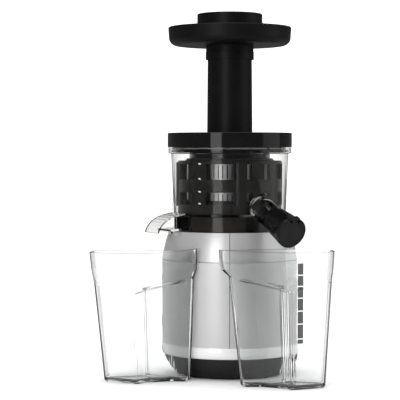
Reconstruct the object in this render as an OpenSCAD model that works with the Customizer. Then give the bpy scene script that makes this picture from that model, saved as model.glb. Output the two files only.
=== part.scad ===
// Upright slow juicer: motor base, juicing bowl with auger, lid with feed tube and two jugs.
// The origin is on the machine's axis at table level, +Z is up and -Y is the front.

/* [Base] */
// Radius of the brushed metal sleeve
body_r = 80; // [78:0.5:84]
// Height of the dark foot
foot_h = 25; // [23:0.5:28]
// Radius of the foot near the table
foot_r = 63; // [61:0.5:68]
// How far the foot's top edge lies inside the sleeve
foot_top_in = 2; // [1:0.5:3]
// Height of the bright trim ring
trim_h = 13; // [12:0.5:15]
// Height of the straight metal sleeve
sleeve_h = 99; // [98:0.5:106]
// Height of the sloping shoulder above the sleeve
shoulder_h = 33; // [31:0.5:37]
// How far the shoulder draws in from the sleeve
shoulder_in = 8; // [5:0.5:9]
// Radius of the pedestal that carries the bowl
deck_r = 63.8; // [62:0.2:64.4]
// Height of the pedestal above the shoulder
deck_h = 17.7; // [17:0.1:19]
// Thickness of the moulded housing walls
wall = 2.5; // [2:0.1:3]
// Thickness of the metal sleeve
skin = 1.4; // [1:0.1:1.8]

/* [Drive] */
// Teeth of the motor pinion
pinion_teeth = 12; // [12:1:13]
// Teeth of the large wheel on the layshaft
wheel_teeth = 60; // [58:1:62]
// Teeth of the small pinion on the layshaft
lay_teeth = 12; // [12:1:13]
// Teeth of the output gear
output_teeth = 54; // [52:1:56]
// Tooth module of the first pair of gears
gear_module = 1; // [0.96:0.01:1.03]
// Width of the gear faces
gear_w = 7; // [6:0.5:8]
// Radius of the stator's laminated core
stator_r = 48; // [46:0.5:49]
// Height of the stator's laminated core
stator_h = 36; // [32:1:37]
// Radius of the rotor
rotor_r = 25.6; // [24:0.2:26]
// Radius of the motor shaft and of the layshaft
shaft_r = 4; // [3.6:0.1:4.4]
// Radius of the output shaft
output_shaft_r = 8; // [7.6:0.1:8.4]
// Size across the flats of the hexagonal drive end
drive_flats = 12; // [11:0.1:12.8]

/* [Bowl] */
// Outer radius of the clear bowl at its floor
bowl_r = 66.6; // [66.4:0.1:68]
// Outer radius of the clear bowl under its flange
bowl_top_r = 69.6; // [69.2:0.1:70.4]
// Height of the bowl above its floor, with the flange
bowl_h = 78; // [77.5:0.5:82]
// How far the bowl's flange stands out from its wall
flange_reach = 3.4; // [2.9:0.1:4]
// Height of the bowl's flange
flange_h = 7.5; // [7:0.1:8.5]
// Thickness of the clear bowl's wall
bowl_wall = 2.2; // [2:0.1:2.3]
// Direction of the juice spout, right of the front
spout_azimuth = 33; // [28:1:38]
// Slope of the juice spout below the level
spout_slope = 23; // [20:1:24]
// Bore radius of the juice spout
spout_bore_r = 8.5; // [7.5:0.1:9]
// Direction of the pulp chute, forward of the left side
chute_azimuth = 25; // [20:1:30]
// Width of the pulp chute
chute_w = 40; // [38:0.5:42]
// Distance of the chute's lip from the axis
chute_reach = 101; // [97:0.5:103]

/* [Cage and strainer] */
// Gap between the bowl's wall and the turning brush cage
cage_gap = 2.9; // [2.4:0.1:3.4]
// Thickness of the brush cage's wall
cage_wall = 4.5; // [3.6:0.1:4.9]
// Number of window columns in the brush cage
cage_columns = 8; // [6:2:10]
// Gap between the brush cage and the strainer's frame
strainer_gap = 4; // [3.6:0.1:4.6]
// Distance from the strainer frame's face in to its mesh
mesh_in = 3; // [2.7:0.1:3.2]
// Number of slits round the strainer's mesh
mesh_slits = 60; // [48:4:64]
// Gap between the auger's flights and the strainer's mesh
auger_gap = 1; // [0.7:0.1:3]
// Height that one turn of the auger's flight climbs
auger_lead = 40; // [34:1:46]

/* [Lid and hopper] */
// How far the lid stands out over the bowl's flange
lid_reach = 0.8; // [0.4:0.1:2]
// Height of the lid's rim
lid_h = 17; // [16:0.5:19]
// Outer radius of the feed tube at its foot
tube_r = 27.2; // [27:0.1:28]
// Height of the feed tube above the lid
tube_h = 88; // [80:0.2:92]
// Bore radius of the feed tube
tube_bore_r = 24.3; // [23.8:0.1:24.5]
// Distance of the feed tube behind the axis
tube_offset = 21; // [20.5:0.1:21.4]
// Outer radius of the hopper tray
tray_r = 73.8; // [70:0.2:76]
// Height of the hopper tray's dish
tray_h = 22; // [19:0.1:24]
// Radius of the pusher's head
pusher_head_r = 39; // [36:0.2:41]
// Height of the pusher's head above the tray's rim
pusher_rise = 16; // [14:0.2:20]
// Radius of the pusher's rod
pusher_r = 23.6; // [23.2:0.1:23.7]
// Length of the pusher's rod below the tray
pusher_rod_h = 92; // [80:1:100]

/* [Spout cap] */
// Length of the black sleeve on the spout
sleeve_l = 42; // [38:0.5:44]
// Radius of the sleeve where it meets the clear spout
sleeve_r = 15; // [14.6:0.1:15.4]
// Radius of the sleeve at its end
sleeve_end_r = 17.7; // [17.4:0.1:18]
// Radius of the juice cap
cap_r = 18.2; // [18:0.1:18.6]
// Thickness of the juice cap
cap_t = 5.6; // [5.2:0.1:6]

/* [Jugs] */
// Height of the juice jug
juice_jug_h = 152; // [140:1:153]
// Height of the pulp jug
pulp_jug_h = 148; // [136:1:152]
// Length of the juice jug's rim with its pouring lip
juice_jug_l = 131; // [125:1:136]
// Length of the pulp jug's rim with its pouring lip
pulp_jug_l = 125; // [118:1:130]
// Half the width of a jug at its rim
jug_half_w = 37; // [34:0.5:38]
// Half the width of a jug at its foot
jug_foot_half_w = 32; // [29:0.5:34]
// Thickness of a jug's walls
jug_wall = 2; // [1.8:0.1:2.4]
// Depth of the finger recesses in a jug's long sides
recess_d = 8; // [5:0.5:9]

/* [Hidden] */

$fn = 72;
// Overrun of every cut past the face it opens
over = 1;
// Small step or rounding on moulded and turned edges
edge = 1;
// Angle of the fixings that stand between the axes
screw_angle = 45;
// Gap between parts that turn or lift apart
run_gap = 0.3;
// Radial clearance of a shaft in its bearing
fit_gap = 0.05;

// Levels of the base, from the table up
foot_lift = 1.5;
foot_floor_z = 4;
foot_floor_t = 3;
foot_top_r = body_r - foot_top_in;
foot_curve_share = 0.7333;
foot_curve_r = foot_r + (foot_top_r - foot_r) * foot_curve_share;
foot_curve_z = 12;
foot_lip_w = 8;
foot_floor_reach = 2.2;
trim_bulge = 1;
shoulder_top_r = body_r - shoulder_in;
shoulder_step = 1;
groove_gap = 1.2;
shoulder_lip_h = 7;
shoulder_curve_share = 0.24;
foot_top = foot_h;
trim_top = foot_top + trim_h;
sleeve_top = trim_top + sleeve_h;
shoulder_top = sleeve_top + shoulder_h;
deck_top = shoulder_top + deck_h;
seam_w = 0.9;
seam_d = 0.8;

// Bottom of the base: grille, feet and pillars
grille_r = 44;
grille_t = 2;
grille_slot_w = 3;
grille_slot_l = 17;
grille_slot_count = 24;
vent_r = 36;
screw_head_r = 3.2;
screw_head_h = 1.2;
screw_r = 1.6;
grille_screw_ring = 40;
rubber_foot_r = 7;
rubber_foot_ring = 54;
pillar_r = 6;
bolt_ring = 52;
bolt_angle = 20;
bolt_r = 2;
bolt_head_r = 3.6;
bolt_head_h = 3;

// Levels of the motor, stacked on the pillars
bracket_t = 3;
bracket_r = 57;
bracket_z = 30;
rim_h = 7;
rim_t = 3;
end_turn_h = 5;
end_turn_gap = 0.3;
bearing_r = 11;
bearing_h = 7;
boss_t = 3;
stator_z = bracket_z + bracket_t + rim_h;
stator_top = stator_z + stator_h;
upper_rim_h = 10;
upper_plate_z = stator_top + upper_rim_h;
upper_plate_top = upper_plate_z + bracket_t;
coil_in_r = 29;
coil_out_r = 43.5;
air_gap = 0.4;
slot_count = 12;
slot_w = 5;
rotor_extra = 2;
shaft_bottom_z = 12;
fan_z = 13;
fan_h = 11;
fan_r = 34;
fan_hub_r = 9;
fan_blades = 9;
fan_blade_t = 1.6;
bracket_window_r = 15;
bracket_window_ring = 35;

// Levels and sizes of the gearbox
pressure = 20;
tip_share = 0.75;
root_share = 1.05;
tooth_slack = 0.06;
case_t = 3;
case_gap = 2.2;
case_floor_z = upper_plate_top;
pinion_z = case_floor_z + case_t + case_gap;
pinion_h = 10;
wheel_z = pinion_z + run_gap;
shaft_top_z = pinion_z + pinion_h;
lay_y = gear_module * (pinion_teeth + wheel_teeth) / 2;
lay_module = 2 * lay_y / (lay_teeth + output_teeth);
output_gear_z = shaft_top_z + case_gap;
output_gear_h = gear_w + boss_t;
lay_top_z = output_gear_z + output_gear_h;
cover_z = lay_top_z + case_gap;
cover_t = 3;
case_r = max(gear_module * (wheel_teeth / 2 + 1), lay_module * (output_teeth / 2 + 1)) + case_gap + case_t;
out_bearing_r = 16;
out_bearing_h = 7;
out_race_r = 11.2;
out_boss_r = out_bearing_r + boss_t;
lay_boss_r = shaft_r + boss_t;
lay_end = 4;
web_holes = 6;

// Deck, its plate, its boss and the notch for the pulp channel
deck_plate_t = 3.5;
deck_plate_in = 2.2;
deck_plate_r = shoulder_top_r - deck_plate_in;
deck_edge_gap = 0.2;
deck_top_t = 3;
deck_notch_r = 25;
deck_notch_extra = 3;
notch_w = chute_w + 2 * deck_notch_extra;
deck_seal_h = 3.5;
deck_seal_r = 13;
deck_screw_r = 1.8;
shoulder_ledge_w = 8;
switch_box = [24, 14, 13];
switch_box_in = 31.8;
switch_box_x = switch_box_in - deck_plate_r;
switch_box_y = 28;

// Electrical pieces in the base
capacitor_size = [32, 18, 20];
capacitor_y = -49;
board_size = [44, 18, 1.6];
board_y = 46;
board_lift = 3;
chip_size = [10, 8, 6];
socket_size = [9, 9, 10];
post_r = 2.5;
gland_z = 14;
gland_r = 6;
gland_bore_r = 3.4;
gland_flange_r = 7.2;
gland_flange_in = 1.2;
gland_flange_y = foot_top_r - gland_flange_in;
gland_flange_t = 1.6;
gland_l = 11;

// Rocker switch in the back of the sleeve
rocker_z = 58;
rocker_w = 15;
rocker_r = 8.6;
rocker_gap = 0.4;
rocker_sink = 2.2;
frame_w = 28;
frame_h = 25;
frame_lip = 1.8;
frame_lip_w = 2.2;
frame_depth = 17;
rocker_face = frame_lip + rocker_sink;

// Levels of the bowl
seat_gap = 0.3;
floor_t = 2.5;
bowl_z = deck_top + seat_gap;
floor_z = bowl_z + floor_t;
bowl_top = bowl_z + floor_t + bowl_h;
flange_z = bowl_top - flange_h;
skirt_z = shoulder_top + seat_gap;
collar_r = 15.5;
collar_bore_r = 13;
collar_h = 4.6;
flange_r = bowl_top_r + flange_reach;
groove_d = 0.6;
groove_lift = 1.6;
groove_r = bowl_top_r + groove_d;
groove_z = flange_z + groove_lift;
lug_h = 2.2;
lug_clear = 0.4;
lug_r = groove_r - lug_clear;
lug_gap = 0.6;
lug_angle = 14;
lug_count = 4;
lid_turn = 30;
entry_angle = 19;
tab_w = 10;
tab_t = 1.1;
tab_h = 5;
fin_t = 2;
fin_h = 23;
fin_d = 3.2;
fin_azimuth = 12;
fin_share = 0.8;

// Juice spout, measured along its own sloping axis
spout_start_in = 6.6;
spout_start_r = bowl_r - spout_start_in;
spout_start_rise = 10.3;
spout_wall = 2.6;
spout_root_s = 2;
spout_root_end = 44;
sleeve_start = 27;
sleeve_clear = 0.2;
outlet_r = 11.5;
sleeve_end = sleeve_start + sleeve_l;
ring_groove_w = 1.2;
ring_groove_d = 0.8;
pad_w = 10;
pad_l = 17;
pad_t = 2;
cap_gap = 0.4;
cap_face = sleeve_end + cap_gap;
pin_r = 1.5;
pin_up = 15.6;
pin_out = 2.4;
knuckle_r = 2.4;
knuckle_w = 7.4;
ear_w = 3;
ear_gap = 0.3;
ear_y = knuckle_w / 2 + ear_gap + ear_w / 2;
seal_plug_r = 11;
seal_plug_h = 3;
seal_flange_t = 1;
seal_flange_r = 12.6;

// Pulp chute: outline in its own radial plane, as distances from the axis and heights
chute_start_r = 26;
chute_mouth_l = 19;
chute_mouth_r = chute_reach - chute_mouth_l;
chute_wall = 2;
chute_lip_drop = 1;
chute_in_rise = 5.5;
chute_out_rise = 1;
chute_lip_z = shoulder_top - chute_lip_drop;
chute_floor_in_z = shoulder_top + chute_in_rise;
chute_floor_out_z = shoulder_top + chute_out_rise;
hood_root_in = 2.6;
hood_root_rise = 1.5;
hood_bend_in = 5;
hood_bend_drop = 2;
hood_root_r = bowl_r - hood_root_in;
hood_root_z = floor_z + hood_root_rise;
hood_bend_r = chute_reach - hood_bend_in;
hood_bend_z = floor_z - hood_bend_drop;
slot_r = 45.5;
stopper_in_r = 34;
stopper_out_r = 52;
stopper_lip = 2.5;
stopper_t = 1.6;
stopper_w = 22;

// Gears under the strainer
brush_module = 2;
sun_teeth = 20;
idler_teeth = 14;
ring_teeth = sun_teeth + 2 * idler_teeth;
idler_ring = brush_module * (sun_teeth + idler_teeth) / 2;
idler_angle = 115;
gear_lift = 0.5;
gear_z = floor_z + gear_lift;
brush_gear_h = 5.6;
idler_pin_r = 3;
idler_pin_h = 7;
cage_z = floor_z + seat_gap;
cage_foot_h = 7.6;
post_ring = 30;
post_foot_r = 4;
post_angles = [25, 160, 250];

// Strainer, cage windows and wipers, as heights above the bowl's floor
cage_r = bowl_r - bowl_wall - cage_gap;
cage_in_r = cage_r - cage_wall;
strainer_r = cage_in_r - strainer_gap;
mesh_r = strainer_r - mesh_in;
strainer_lift = 8.5;
strainer_h = 55;
strainer_z = floor_z + strainer_lift;
strainer_floor_t = 2.4;
strainer_hole_r = 24;
strainer_top = strainer_z + strainer_h;
rib_count = 4;
rib_angle = 20;
rib_azimuth = 39;
hoop_h = 5;
mid_hoop_lift = 28;
mid_hoop_z = floor_z + mid_hoop_lift;
mid_hoop_h = 10;
mesh_t = 0.8;
hoop_in_r = mesh_r + mesh_t + fit_gap;
mesh_slit_w = 1.3;
mesh_band_h = 3;
cage_rim_drop = 1;
cage_top = strainer_top - cage_rim_drop;
window_low_lift = 11.5;
window_low_h = 14;
window_high_lift = 40.5;
window_high_h = 18;
window_low = floor_z + window_low_lift;
window_low_top = window_low + window_low_h;
window_high = floor_z + window_high_lift;
window_high_top = window_high + window_high_h;
window_angle = 30;
window_azimuth = -11;
blade_count = 4;
blade_azimuth = 8;
blade_t = 3;
blade_gap = 0.1;
blade_clear = 0.4;
blade_lift = 9;
blade_head_drop = 2;
blade_in_r = strainer_r + blade_clear;
blade_out_r = bowl_r - bowl_wall - 2 * blade_clear;
blade_foot = floor_z + blade_lift;
blade_head = cage_top - blade_head_drop;
blade_hook_w = 8;
blade_hook_t = 1.6;

// Auger: heights and radii of its body
neck_z = gear_z + brush_gear_h;
neck_r = 22;
auger_h = 60.5;
flight_d = 8;
auger_foot_z = strainer_z + strainer_floor_t + 2 * run_gap;
auger_top_z = auger_foot_z + auger_h;
auger_r = mesh_r - auger_gap;
auger_root_r = auger_r - flight_d;
auger_tip_r = 7;
flight_top_r = 22;
flight_fade_share = 0.78;
second_depth_share = 0.45;
auger_rings = 60;
sun_bore_r = 17;
socket_r = 10.6;
socket_wall_gap = 0.1;
socket_lift = 1.6;
socket_rise = 13;
socket_z = bowl_z + socket_lift;
socket_top = neck_z + socket_rise;
hex_gap = 0.15;
drive_rise = 8;
drive_top = neck_z + drive_rise;
auger_pin_h = 8;

// Lid, tube and hopper
lid_z = bowl_top + run_gap;
lid_top = lid_z + lid_h;
lid_plate_t = 2.6;
lid_r = flange_r + lid_reach;
plug_gap = 0.5;
plug_r = bowl_top_r - bowl_wall - plug_gap;
plug_t = 2.4;
plug_drop = 6.5;
inner_skirt_r = 48;
inner_skirt_drop = 13;
web_t = 3;
feed_rib_angles = [210, 270, 330];
boss_r = 9;
boss_drop = 5.5;
boss_rise = 6;
boss_cone = 5;
tube_top_r = 26.5;
band_h = 9.2;
band_r = 28.9;
spigot_r = 25.9;
spigot_h = 5;
seal_sink = 1.2;
seal_in_r = plug_r - seal_sink;
seal_h = 1.6;
seal_z = bowl_top - seal_h - 2 * run_gap;
tube_top = lid_top + tube_h;
band_top = tube_top + band_h;
tray_collar_h = 7.2;
tray_collar_r = 28.5;
tray_gap = 0.3;
tray_z = band_top + tray_gap + tray_collar_h;
tray_top = tray_z + tray_h;
tray_floor_t = 2.6;
tray_wall = 2.4;
tray_fillet = 9.5;
tray_taper = 0.8;
tray_bore_r = tube_bore_r + run_gap;
head_wall = 2.4;
head_z = tray_z + tray_floor_t + run_gap;
head_top = tray_top + pusher_rise;
head_ledge = 0.7;
head_ledge_h = 5;
head_ledge_z = tray_top + head_ledge_h;
head_round = 1.6;
dimple_r = 22;
dimple_d = 1.2;
rod_wall = 2.4;
rod_round = 2;
rod_bottom = tray_z - pusher_rod_h;

// Jugs: where they stand, and the shares that shape their outline and heights
juice_tip = [-14.5, -117];
juice_turn = 3;
pulp_tip = [-35, -75];
pulp_turn = 175;
juice_foot_in = 25;
pulp_foot_in = 8;
juice_lip_rise = 1.2;
pulp_lip_rise = 4.5;
juice_far_in = 10;
pulp_far_in = 17;
jug_floor_t = 3;
jug_foot_chamfer = 2.4;
juice_waist_z = 110;
pulp_waist_z = 103.5;
jug_waist_share = 0.45;
far_recess_d = 2.5;
recess_slope = 2.6;
recess_tilt = 28;
level_share = 0.4;
corner_reach = 0.4;
lip_share = 0.4;
rim_band = 10;
corner_l = 4.5;
corner_points = 4;
// Share of the length and of the half width at each corner from the lip to the far end
jug_shares = [[0.10, 0.172], [0.19, 0.328], [0.49, 0.845], [0.58, 1.0], [0.74, 0.84], [0.94, 0.60],
    [1.0, 0.44]];
// How much of each recess reaches each of those corners
side_recess_shares = [0, 1, 1, 0, 0, 0, 0];
far_recess_shares = [0, 0, 0, 0, 1, 1, 0];

// Points of an arc, and of a smooth bend from a to b drawn towards c
function arc_points(x, y, r, from, to, n) =
    [for (i = [0:n]) let (a = from + (to - from) * i / n) [x + r * cos(a), y + r * sin(a)]];
function bend(a, c, b, n) =
    [for (i = [0:n]) let (t = i / n) a * (1 - t) * (1 - t) + c * 2 * t * (1 - t) + b * t * t];
function mix(a, b, t) = a + (b - a) * t;

// Involute gear outline: a tooth is centred on +X
function roll(a) = tan(a) * 180 / PI - a;
function tooth_half(teeth, m, r, slack) = let (
        pitch_r = m * teeth / 2,
        base_r = pitch_r * cos(pressure),
        a = acos(min(1, base_r / max(r, base_r))))
    90 / teeth + roll(pressure) - roll(a) - slack / pitch_r * 180 / PI;
function gear_outline(teeth, m, slack, tip, root) = let (
        pitch_r = m * teeth / 2,
        radii = [pitch_r - root * m, pitch_r - 0.3 * root * m, pitch_r + 0.4 * tip * m, pitch_r + tip * m])
    [for (i = [0:teeth - 1], k = [-4:3]) let (
            r = radii[k < 0 ? k + 4 : 3 - k],
            a = tooth_half(teeth, m, r, slack) * (k < 0 ? -1 : 1) + i * 360 / teeth)
        [r * cos(a), r * sin(a)]];

module gear(teeth, m, h) {
    linear_extrude(h) polygon(gear_outline(teeth, m, tooth_slack, tip_share, root_share));
}

module tube(r_out, r_in, z, h) {
    translate([0, 0, z]) difference() {
        cylinder(r = r_out, h = h);
        translate([0, 0, -over]) cylinder(r = r_in, h = h + 2 * over);
    }
}

module disc(r, z, h) {
    translate([0, 0, z]) cylinder(r = r, h = h);
}

// Part of a ring, centred on an angle from +X
module sector(r_out, r_in, z, h, middle, span) {
    rotate([0, 0, middle - span / 2]) rotate_extrude(angle = span)
        translate([r_in, z]) square([r_out - r_in, h]);
}

module around(count, first) {
    for (i = [0:count - 1]) rotate([0, 0, first + 360 * i / count]) children();
}

module at_bolts() {
    for (a = [bolt_angle, 180 - bolt_angle, 180 + bolt_angle, -bolt_angle])
        rotate([0, 0, a]) translate([bolt_ring, 0, 0]) children();
}

module block(size, x, y, z) {
    translate([x - size[0] / 2, y - size[1] / 2, z]) cube(size);
}

// Closed solid through rings of points, each ring a list of as many points, from the outside bottom
// round to the inside bottom
module ring_solid(rings) {
    n = len(rings[0]);
    last = len(rings) - 1;
    centre_a = [for (k = [0:2]) [for (p = rings[0]) p[k]] * [for (p = rings[0]) 1 / n]];
    centre_b = [for (k = [0:2]) [for (p = rings[last]) p[k]] * [for (p = rings[last]) 1 / n]];
    points = concat([for (ring = rings) each ring], [centre_a, centre_b]);
    first_centre = len(points) - 2;
    sides = [for (j = [0:last - 1], i = [0:n - 1]) let (
            a = j * n + i,
            b = j * n + (i + 1) % n)
        each [[a, a + n, b], [b, a + n, b + n]]];
    bottom = [for (i = [0:n - 1]) [first_centre, i, (i + 1) % n]];
    top = [for (i = [0:n - 1]) [first_centre + 1, last * n + (i + 1) % n, last * n + i]];
    polyhedron(points = points, faces = concat(sides, bottom, top), convexity = 10);
}

foot_curve = bend([foot_r, foot_lift], [foot_curve_r, foot_curve_z], [foot_top_r, foot_top], 6);
foot_inner = bend([foot_r - wall, foot_lift], [foot_curve_r - wall, foot_curve_z],
    [foot_top_r - wall, foot_top], 6);

module base_foot() {
    color("#262627") difference() {
        union() {
            rotate_extrude() polygon(concat([[foot_r - wall, foot_lift]], foot_curve,
                [[foot_top_r - foot_lip_w, foot_top], [foot_top_r - foot_lip_w, foot_top - wall],
                [foot_top_r - 2 * wall, foot_top - 2 * wall]],
                [for (i = [4:-1:1]) foot_inner[i]]));
            tube(foot_r + foot_floor_reach, vent_r, foot_floor_z, foot_floor_t);
            at_bolts() cylinder(r = pillar_r, h = bracket_z);
        }
        translate([0, 0, -over]) cylinder(r = foot_r + wall, h = foot_lift + over);
        at_bolts() cylinder(r = bolt_r + fit_gap, h = bracket_z + over);
        at_bolts() cylinder(r = pillar_r + over, h = foot_floor_z);
        around(lug_count, screw_angle) translate([grille_screw_ring, 0, 0])
            cylinder(r = screw_r, h = foot_floor_z + foot_floor_t + over);
        translate([0, 0, gland_z]) rotate([-90, 0, 0]) cylinder(r = gland_r, h = foot_top_r);
    }
}

module bottom_grille() {
    color("#303032") difference() {
        disc(grille_r, foot_floor_z - grille_t, grille_t);
        around(grille_slot_count, 0) translate([vent_r - grille_slot_l, -grille_slot_w / 2, 0])
            cube([grille_slot_l - grille_slot_w, grille_slot_w, foot_floor_z + over]);
        around(lug_count, screw_angle) translate([grille_screw_ring, 0, 0])
            cylinder(r = screw_r, h = foot_floor_z + over);
    }
}

module rubber_feet() {
    color("#1b1b1b") around(lug_count, screw_angle) translate([rubber_foot_ring, 0, 0])
        rotate_extrude() polygon([[0, foot_lift / 2], [rubber_foot_r / 2, foot_lift / 2],
            [rubber_foot_r / 2, 0], [rubber_foot_r - foot_lift / 2, 0], [rubber_foot_r, foot_lift / 2],
            [rubber_foot_r, foot_floor_z], [0, foot_floor_z]]);
    color("#1b1b1b") rotate_extrude() polygon([[0, 0], [rubber_foot_r - foot_lift / 2, 0],
        [rubber_foot_r, foot_lift / 2], [rubber_foot_r, foot_floor_z - grille_t],
        [0, foot_floor_z - grille_t]]);
}

module grille_screws() {
    color("#9a9a9c") around(lug_count, screw_angle) translate([grille_screw_ring, 0, 0]) {
        disc(screw_head_r, foot_floor_z - grille_t - screw_head_h, screw_head_h);
        disc(screw_r - fit_gap, foot_floor_z - grille_t, grille_t + foot_floor_t);
    }
}

module trim_ring() {
    color("#e6e6e8") rotate_extrude() polygon(concat(
        bend([foot_top_r, foot_top], [body_r + trim_bulge, foot_top], [body_r, trim_top], 5),
        [[body_r - skin - wall, trim_top], [body_r - skin - wall, foot_top]]));
}

module seam(z, h) {
    translate([-seam_w / 2, -body_r - over, z]) cube([seam_w, over + seam_d, h]);
}

module body_sleeve() {
    color("#b9bbbd") difference() {
        tube(body_r, body_r - skin, trim_top, sleeve_h - groove_gap);
        seam(trim_top - over, sleeve_h + over);
        translate([-frame_w / 2 + frame_lip_w, 0, rocker_z - frame_h / 2 + frame_lip_w])
            cube([frame_w - 2 * frame_lip_w, body_r + over, frame_h - 2 * frame_lip_w]);
    }
}

shoulder_bend = [mix(body_r, shoulder_top_r, shoulder_curve_share),
    mix(sleeve_top, shoulder_top, 1 - 2 * shoulder_curve_share)];

module shoulder_seam() {
    difference() {
        translate([-seam_w / 2, -body_r - over, sleeve_top - over])
            cube([seam_w, body_r, shoulder_h + 2 * over]);
        rotate_extrude() polygon(concat(
            [[0, sleeve_top - 2 * over], [body_r - seam_d, sleeve_top - 2 * over]],
            bend([body_r - seam_d, sleeve_top], shoulder_bend - [seam_d, 0],
                [shoulder_top_r - seam_d, shoulder_top], 6),
            [[shoulder_top_r - seam_d, shoulder_top + 2 * over], [0, shoulder_top + 2 * over]]));
    }
}

module shoulder_cover() {
    color("#c9cbcd") difference() {
        rotate_extrude() polygon(concat(
            [[body_r - skin - fit_gap, sleeve_top - shoulder_lip_h],
            [body_r - skin - fit_gap, sleeve_top - shoulder_step], [body_r - skin, sleeve_top]],
            bend([body_r, sleeve_top], shoulder_bend, [shoulder_top_r, shoulder_top], 6),
            [[deck_plate_r + deck_edge_gap, shoulder_top],
            [deck_plate_r + deck_edge_gap, shoulder_top - deck_plate_t],
            [deck_plate_r - shoulder_ledge_w, shoulder_top - deck_plate_t],
            [deck_plate_r - shoulder_ledge_w, shoulder_top - deck_plate_t - wall],
            [shoulder_top_r - wall, shoulder_top - deck_plate_t - wall],
            [body_r - skin - 2 * wall, sleeve_top],
            [body_r - skin - 2 * wall, sleeve_top - shoulder_lip_h]]));
        around(lug_count, screw_angle) translate([deck_plate_r - shoulder_ledge_w / 2, 0, sleeve_top])
            cylinder(r = deck_screw_r, h = shoulder_h - deck_plate_t + over);
        shoulder_seam();
    }
}

module in_chute_frame() {
    rotate([0, 0, 180 + chute_azimuth]) children();
}

module top_deck() {
    color("#19191a") difference() {
        union() {
            disc(deck_plate_r, shoulder_top - deck_plate_t, deck_plate_t);
            difference() {
                disc(deck_r, shoulder_top, deck_h);
                disc(deck_r - wall, shoulder_top - over, deck_h - deck_top_t + over);
            }
            disc(out_boss_r, shoulder_top - deck_plate_t, deck_h + deck_plate_t);
            intersection() {
                in_chute_frame() translate([deck_notch_r - wall, -notch_w / 2 - wall, shoulder_top])
                    cube([deck_r - deck_notch_r, notch_w + 2 * wall, deck_h]);
                disc(deck_r, shoulder_top, deck_h);
            }
        }
        along_spout() translate([0, 0, spout_root_s])
            cylinder(r = spout_bore_r + spout_wall + run_gap, h = spout_root_end - spout_root_s);
        in_chute_frame() translate([deck_notch_r, -notch_w / 2, shoulder_top])
            cube([deck_r, notch_w, deck_h + over]);
        disc(out_bearing_r, shoulder_top - deck_plate_t - over, out_bearing_h + over);
        disc(output_shaft_r + edge, shoulder_top, deck_h + over);
        disc(deck_seal_r, deck_top - deck_seal_h, deck_seal_h + over);
        around(lug_count, screw_angle) translate([deck_plate_r - shoulder_ledge_w / 2, 0, sleeve_top])
            cylinder(r = deck_screw_r, h = shoulder_h - screw_head_h);
    }
}

module deck_screws() {
    color("#9a9a9c") around(lug_count, screw_angle) translate([deck_plate_r - shoulder_ledge_w / 2, 0, 0]) {
        disc(deck_screw_r - fit_gap, shoulder_top - deck_plate_t - wall,
            deck_plate_t + wall - 2 * screw_head_h);
        disc(screw_head_r, shoulder_top - deck_plate_t - wall - screw_head_h, screw_head_h);
    }
}

module deck_seal() {
    color("#5f6163") difference() {
        disc(deck_seal_r, deck_top - deck_seal_h, deck_seal_h);
        disc(output_shaft_r + run_gap, deck_top - deck_seal_h - over, deck_seal_h + 2 * over);
        tube(deck_seal_r - wall, output_shaft_r + wall / 2, deck_top - deck_seal_h / 2, deck_seal_h);
    }
}

module interlock_switch() {
    color("#6d1f1f") {
        difference() {
            block(switch_box, switch_box_x, switch_box_y, shoulder_top - deck_plate_t - switch_box[2]);
            for (s = [-1, 1]) translate([switch_box_x + s * switch_box[0] / 3, switch_box_y - switch_box[1],
                shoulder_top - deck_plate_t - switch_box[2] / 2])
                rotate([-90, 0, 0]) cylinder(r = screw_r, h = 2 * switch_box[1]);
        }
        for (s = [-1, 0, 1]) block([edge, switch_box[1] / 2, switch_box[2] / 3],
            switch_box_x + s * switch_box[0] / 3, switch_box_y,
            shoulder_top - deck_plate_t - switch_box[2] * 4 / 3);
    }
}

module bracket_plate(z) {
    difference() {
        disc(bracket_r, z, bracket_t);
        around(4, 0) translate([bracket_window_ring - bracket_window_r / 2, 0, z - over])
            cylinder(r = bracket_window_r / 2, h = bracket_t + 2 * over);
        at_bolts() translate([0, 0, z - over]) cylinder(r = bolt_r + fit_gap, h = bracket_t + 2 * over);
    }
}

module motor_bracket_lower() {
    color("#8d9093") difference() {
        union() {
            bracket_plate(bracket_z);
            tube(stator_r + fit_gap, stator_r - rim_t, bracket_z + bracket_t, rim_h);
            disc(bearing_r + boss_t, bracket_z, bearing_h);
        }
        disc(bearing_r, bracket_z - over, bearing_h + 2 * over);
    }
}

module motor_bracket_upper() {
    color("#8d9093") difference() {
        union() {
            bracket_plate(upper_plate_z);
            tube(stator_r + fit_gap, stator_r - rim_t, stator_top, upper_rim_h);
            disc(bearing_r + boss_t, upper_plate_top - bearing_h, bearing_h);
        }
        disc(bearing_r, upper_plate_top - bearing_h - over, bearing_h + 2 * over);
    }
}

module motor_bolts() {
    color("#b5b7b9") at_bolts() {
        disc(bolt_r, foot_floor_z + foot_floor_t, upper_plate_top - foot_floor_z - foot_floor_t);
        disc(bolt_head_r, upper_plate_top, bolt_head_h);
    }
}

module motor_bearings() {
    color("#c4c6c8") for (z = [bracket_z, upper_plate_top - bearing_h]) rotate_extrude() polygon([
        [shaft_r + fit_gap, z], [bearing_r / 2, z], [bearing_r / 2, z + edge / 2],
        [bearing_r - edge, z + edge / 2], [bearing_r - edge, z], [bearing_r, z], [bearing_r, z + bearing_h],
        [bearing_r - edge, z + bearing_h], [bearing_r - edge, z + bearing_h - edge / 2],
        [bearing_r / 2, z + bearing_h - edge / 2], [bearing_r / 2, z + bearing_h],
        [shaft_r + fit_gap, z + bearing_h]]);
}

module stator_core() {
    color("#6a6c70") difference() {
        disc(stator_r, stator_z, stator_h);
        disc(rotor_r + air_gap, stator_z - over, stator_h + 2 * over);
        around(slot_count, 0) translate([rotor_r + air_gap + slot_w / 2, -slot_w / 2, stator_z - over])
            cube([slot_w * 2, slot_w, stator_h + 2 * over]);
    }
}

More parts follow.
